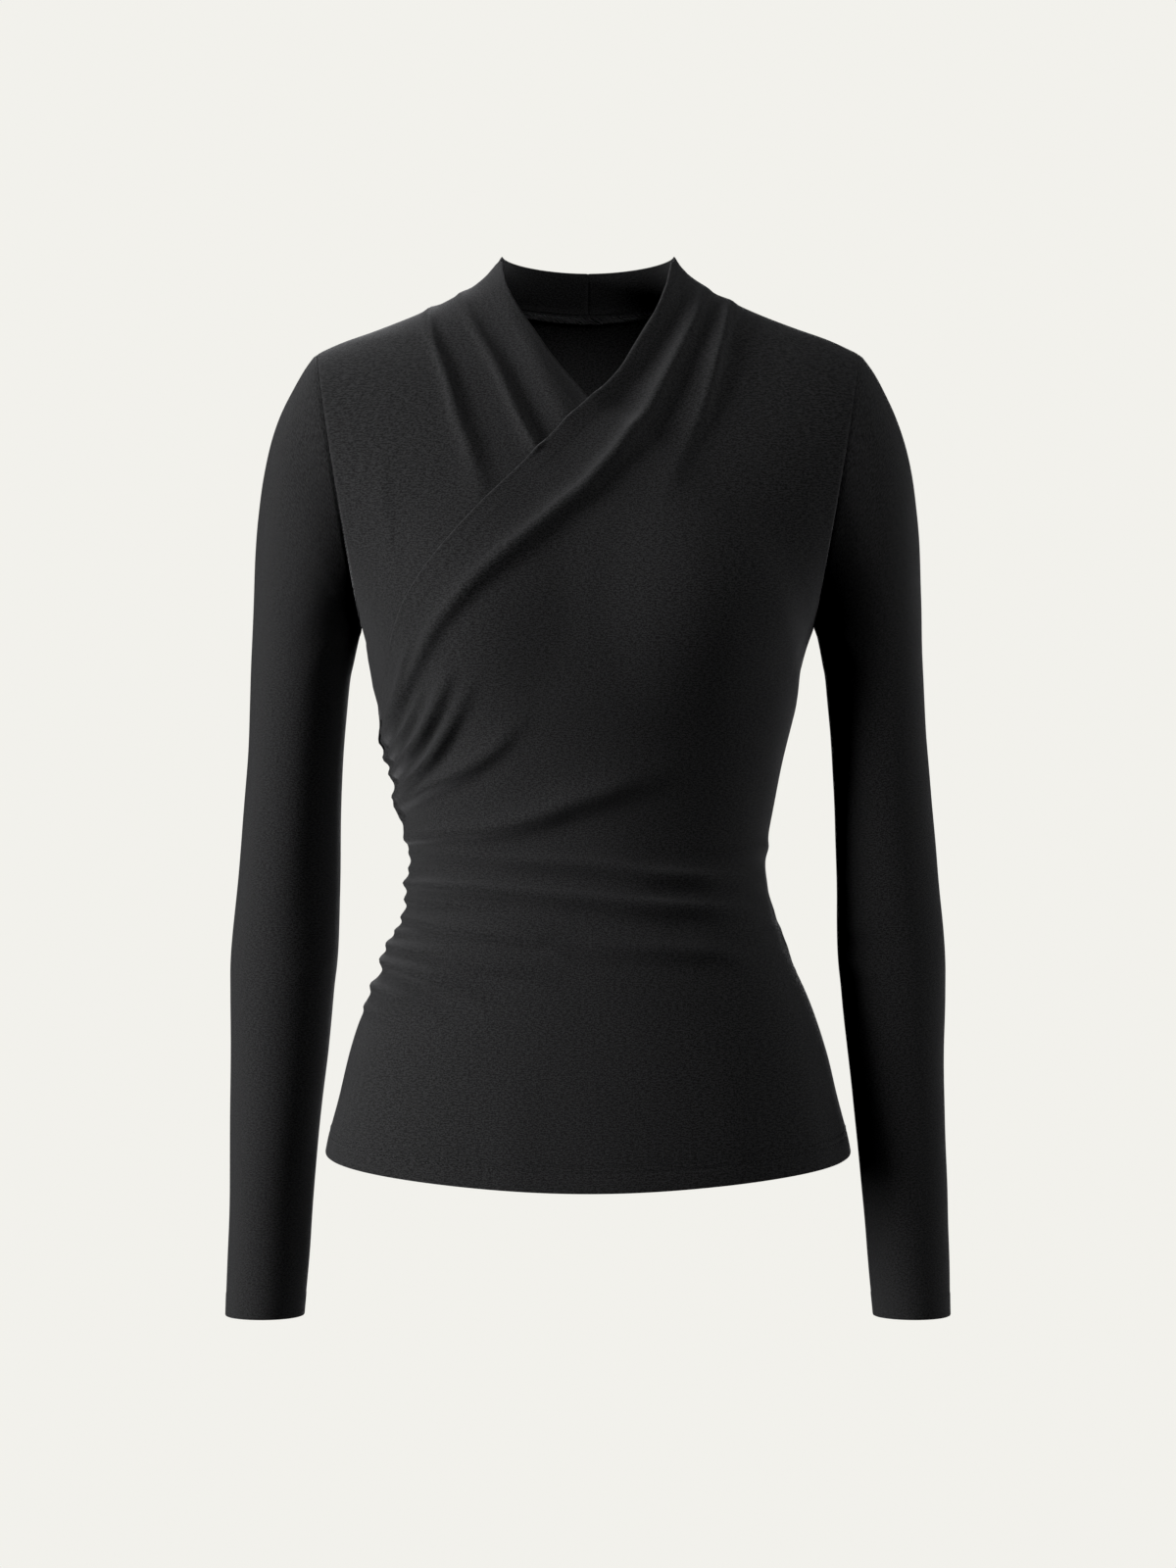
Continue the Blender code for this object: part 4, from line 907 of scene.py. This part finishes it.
def sew_sleeve(name, node, side, seed, columns=84, step=3.0):
    """A sleeve. Returns the grid of its inside, from the armhole down, and of its normals."""
    surface = lambda bend, ring: sleeve_point(bend, ring, side)
    rings = np.linspace(0, len(SLEEVE_RINGS) - 1, 2000)
    walked = lengths(surface(0 * rings, rings))
    cuff_steps = walked[-1] - np.array(HEM_STEPS[:-2])[::-1]
    between = np.arange(EDGE_STEPS[-1] + 1.6, cuff_steps[0] - 1.0, step)
    stops = np.concatenate([EDGE_STEPS, between, cuff_steps])
    rings = np.interp(stops, walked, rings)
    bend = np.array([divided(lambda t: surface(t, ring + 0 * t), -math.pi, math.pi, columns)
                     for ring in rings])
    shape = bend.shape
    _, quads = numbered(shape)
    ring = (rings[:, None] + 0 * bend).ravel()
    below = (stops[:, None] + 0 * bend).ravel()
    bend = bend.ravel()
    small_bend, small_ring = 1e-3, 0.01
    place = surface(bend, ring)
    around = surface(bend + small_bend, ring) - surface(bend - small_bend, ring)
    down = surface(bend, ring + small_ring) - surface(bend, ring - small_ring)
    outward = unit(np.cross(around, down)) * side

    def on_sleeve(degrees, level):
        outer_z = np.array([row[0] for row in SLEEVE_RINGS])
        return surface(np.radians(degrees), np.interp(-level, -outer_z, np.arange(len(outer_z))))

    grid = place.reshape(*shape, 3)
    turned = turned_in(stops[-1] - below, CUFF_TURN, fade=1.0)
    rise = creases(SLEEVE_CREASES, place, outward * side, on_sleeve) + uneven(place, SLEEVE_WAVES, seed)
    calm_length, seam_share = 30, 0.8
    ditch = ridge(nearest((grid[0], grid[:, 0]), place), SEAM_WIDTH)
    rise = rise * ease(below / calm_length) - seam_share * SEAM_DEPTH * ditch
    ends = np.where(bend < 0, -1.0, 1.0) * (np.abs(np.abs(bend) - math.pi) < 1e-6)
    apart = unit(around) * (-ends * SEAM_GAP / 4)[:, None]
    points = place + outward * rise[:, None] + apart
    if side < 0:
        quads = quads[:, ::-1]
    cloth = np.stack([bend * ARM_RADIUS, -below], -1)
    outer, inner = OUT_FACE + TURN_OUT * turned, IN_FACE + TURN_IN * turned
    piece, normals = wall(name, points, quads, cloth, black_jersey, outer, inner)
    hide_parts(node)
    return (points - normals * IN_FACE).reshape(*shape, 3), normals.reshape(*shape, 3)


left_inside = sew_sleeve("left_sleeve_jersey", "sleeve_left", 1, 51)
right_inside = sew_sleeve("right_sleeve_jersey", "sleeve_right", -1, 52)

# ------------------------------------------------------------------ the seams' insides
# Each seam's two edges are overlocked together, a ribbon of cloth 6 mm wide pressed flat inside, under
# zigzags of thread. The one at the back of the neck shows in the opening, just below the collar.

ALLOWANCE = 6.0
RIBBON_HALF = 0.5  # half the pressed edges' thickness
RIBBON_DEPTH, THREAD_DEPTH = 0.75, 1.42  # of the middles of ribbon and threads, from the cloth's inside
overlock_thread = jersey("overlock thread", 0.014, 0.050)
stitch_thread = jersey("stitch thread", 0.001, 0.004)


def placed(line, normals, at):
    """Points and normals of a line, in one row of six, at distances along it."""
    walked = lengths(line)
    both = np.concatenate([line, normals], axis=1)
    return np.stack([np.interp(at, walked, both[:, c]) for c in range(6)], -1)


def inset(points, normals, distance):
    """The line at a distance from a grid's first row, and the normals there."""
    columns = range(points.shape[1])
    both = np.array([placed(points[:NEAR_ROWS, j], normals[:NEAR_ROWS, j], distance) for j in columns])
    return both[:, :3], unit(both[:, 3:])


def sampled(line, normals, gap):
    """A line's points and normals in even steps of about the gap."""
    length = lengths(line)[-1]
    both = placed(line, normals, np.linspace(0, length, max(2, round(length / gap))))
    return both[:, :3], unit(both[:, 3:])


def threads(name, lines, radius, material, sides=5):
    """Thin round threads along some lines of (points, normals)."""
    turns = np.arange(sides) * 2 * math.pi / sides
    vertices, faces = [], []
    first = 0
    for points, normals in lines:
        step = unit(np.gradient(points, axis=0))
        across = unit(np.cross(step, normals))
        upward = np.cross(across, step)
        ring = across[:, None] * np.cos(turns)[:, None] + upward[:, None] * np.sin(turns)[:, None]
        vertices.append((points[:, None] + radius * ring).reshape(-1, 3))
        i, k = np.meshgrid(np.arange(len(points) - 1), np.arange(sides), indexing="ij")
        k2 = (k + 1) % sides
        corners = [i * sides + k, i * sides + k2, (i + 1) * sides + k2, (i + 1) * sides + k]
        faces += (first + np.stack(corners, -1).reshape(-1, 4)).tolist()
        faces.append(list(range(first + sides - 1, first - 1, -1)))
        last = first + (len(points) - 1) * sides
        faces.append(list(range(last, last + sides)))
        first += len(points) * sides
    piece = mesh_piece(name, np.concatenate(vertices), np.array(faces, dtype=object), material)
    piece.data.update()


def overlock(name, points, normals, pitch, seed):
    """A seam's pressed edges on the inside of a grid, along its first row, with their overlock stitches."""
    rows = [inset(points, normals, distance) for distance in (0.4, ALLOWANCE / 2, ALLOWANCE)]
    count = len(rows[0][0])
    ribbon = np.concatenate([line - normal * RIBBON_DEPTH for line, normal in rows])
    _, quads = numbered((3, count))
    agreement = np.sum(sheet_normals(ribbon, quads) * np.concatenate([normal for _, normal in rows]), 1)
    if np.mean(agreement) < 0:
        quads = quads[:, ::-1]
    cloth = np.stack([np.tile(np.arange(count) * 2.0, 3), np.repeat((0.0, 3.0, 6.0), count)], -1)
    wall(name + "_ribbon", ribbon, quads, cloth, black_jersey, RIBBON_HALF, RIBBON_HALF)
    high, low = (sampled(*inset(points, normals, d), pitch / 2) for d in (0.9, ALLOWANCE - 0.5))
    steps = min(len(high[0]), len(low[0]))
    loose = np.random.default_rng(seed).normal(0, 0.16, (steps, 3))
    even = (np.arange(steps) % 2 == 0)[:, None]
    zigzag = np.where(even, high[0][:steps], low[0][:steps]) + loose
    facing_in = np.where(even, high[1][:steps], low[1][:steps])
    lines = [(zigzag - facing_in * THREAD_DEPTH, facing_in)]
    for line, normal in (high, low):
        edge_thread = line[:steps] + loose[::-1] * 0.8 - normal[:steps] * (THREAD_DEPTH - 0.05)
        lines.append((edge_thread, normal[:steps]))
    threads(name + "_thread", lines, 0.26, overlock_thread)


NECK_PITCH, SEAM_PITCH = 1.2, 2.4  # width of a zigzag
overlock("neck_seam", back_inside[::-1], back_normals[::-1], NECK_PITCH, 3)
below_arm, above_arm = slice(10, side_rows), slice(shoulder_rows, None)
for side, order in (("left", slice(None)), ("right", slice(None, None, -1))):
    inside, normals = (np.swapaxes(grid[:, order], 0, 1) for grid in (back_inside, back_normals))
    overlock(side + "_side_seam", inside[:, below_arm], normals[:, below_arm], SEAM_PITCH, 4)
    overlock(side + "_shoulder_seam", inside[:, above_arm], normals[:, above_arm], SEAM_PITCH, 5)
overlock("left_armhole_seam", *left_inside, SEAM_PITCH, 6)
overlock("right_armhole_seam", *right_inside, SEAM_PITCH, 7)

# ------------------------------------------------------------------ the hem's cover stitch
# Two rows of short stitches, 12 and 16 mm above the edge, hold the turned hem all round.

STITCH, STITCH_SPACE = 2.4, 0.7


def cover_stitch(name, points, normals):
    """Stitches along the first row of a grid: short threads that dive into the cloth at both ends."""
    heights = np.array((-0.25, 0.12, 0.12, -0.25))[:, None]
    share = np.array((0.0, 0.25, 0.75, 1.0))[:, None] * STITCH / (STITCH + STITCH_SPACE)
    lines = []
    for row in STITCH_ROWS:
        line, normal = sampled(*inset(points, normals, row), (STITCH + STITCH_SPACE) / 4)
        for i in range(2, len(line) - 5, 4):
            dash = line[i] + (line[i + 4] - line[i]) * share + normal[i] * heights
            lines.append((dash, np.repeat(normal[i : i + 1], 4, 0)))
    threads(name, lines, 0.24, stitch_thread)


cover_stitch("front_hem_stitches", *over_hem)
cover_stitch("back_hem_stitches", back_outside, back_normals)

# ------------------------------------------------------------------ the studio
# A pale floor and backdrop that light nothing, a soft key light on the viewer's left, a high fill, a weak
# light on the right and one behind. The right sleeve casts no shade in the key light.


def emission(name, colour):
    """A material that glows evenly in one colour."""
    material = bpy.data.materials.new(name)
    material.use_nodes = True
    nodes, links = material.node_tree.nodes, material.node_tree.links
    nodes.remove(nodes["Principled BSDF"])
    glow = nodes.new("ShaderNodeEmission")
    glow.inputs["Color"].default_value = (*colour, 1.0)
    glow.inputs["Strength"].default_value = 1.0
    links.new(glow.outputs[0], nodes["Material Output"].inputs["Surface"])
    return material


AIM, DISTANCE = Vector((0.0, 0.0, -0.32)), 3.0  # m, the top's middle, and how far off lights and camera are
PAPER = (0.888, 0.880, 0.838)
world = bpy.data.worlds.new("studio")
bpy.context.scene.world = world
world.use_nodes = True
world.node_tree.nodes["Background"].inputs["Color"].default_value = (*PAPER, 1.0)
world.cycles_visibility.diffuse = False
world.cycles_visibility.glossy = False

bpy.ops.mesh.primitive_circle_add(vertices=96, radius=8.0, fill_type="NGON", location=(0, 0, -1.45))
floor = bpy.context.object
floor.name = "floor"
floor.data.materials.append(emission("pale floor", PAPER))
floor.visible_diffuse = False
floor.visible_glossy = False


def soft_light(name, around, above, size, power):
    """A square light that faces the top: degrees round from the front, towards +X, and above the level."""
    light = bpy.data.lights.new(name, "AREA")
    light.shape = "SQUARE"
    light.size = size
    light.energy = power
    lamp = bpy.data.objects.new(name, light)
    bpy.context.scene.collection.objects.link(lamp)
    around, above = math.radians(around), math.radians(above)
    away = Vector((math.sin(around) * math.cos(above), -math.cos(around) * math.cos(above), math.sin(above)))
    lamp.location = AIM + away * DISTANCE
    lamp.rotation_euler = away.to_track_quat("Z", "Y").to_euler()
    lamp.visible_camera = False
    return lamp


key = soft_light("key", -70, 5, 1.3, 154)
soft_light("high fill", 36, 45, 1.5, 38)
soft_light("side fill", 82, 6, 1.5, 19)
soft_light("back light", 176, 14, 1.3, 60)
shading = bpy.data.collections.new("what shades the key light")
for thing in bpy.context.scene.objects:
    if thing.type == "MESH" and not thing.name.startswith(("right_sleeve", "right_armhole")):
        shading.objects.link(thing)
key.light_linking.blocker_collection = shading

camera = bpy.data.cameras.new("camera")
camera.sensor_width = 36.0
camera.lens = 105.47
viewer = bpy.data.objects.new("camera", camera)
bpy.context.scene.collection.objects.link(viewer)
viewer.location = AIM + Vector((0.0, -DISTANCE, 0.0))
viewer.rotation_euler = (math.radians(90), 0.0, 0.0)
bpy.context.scene.camera = viewer
view = bpy.context.scene.view_settings
view.view_transform = "Standard"
view.use_curve_mapping = True
view.curve_mapping.black_level = (0.0016, 0.0016, 0.0016)
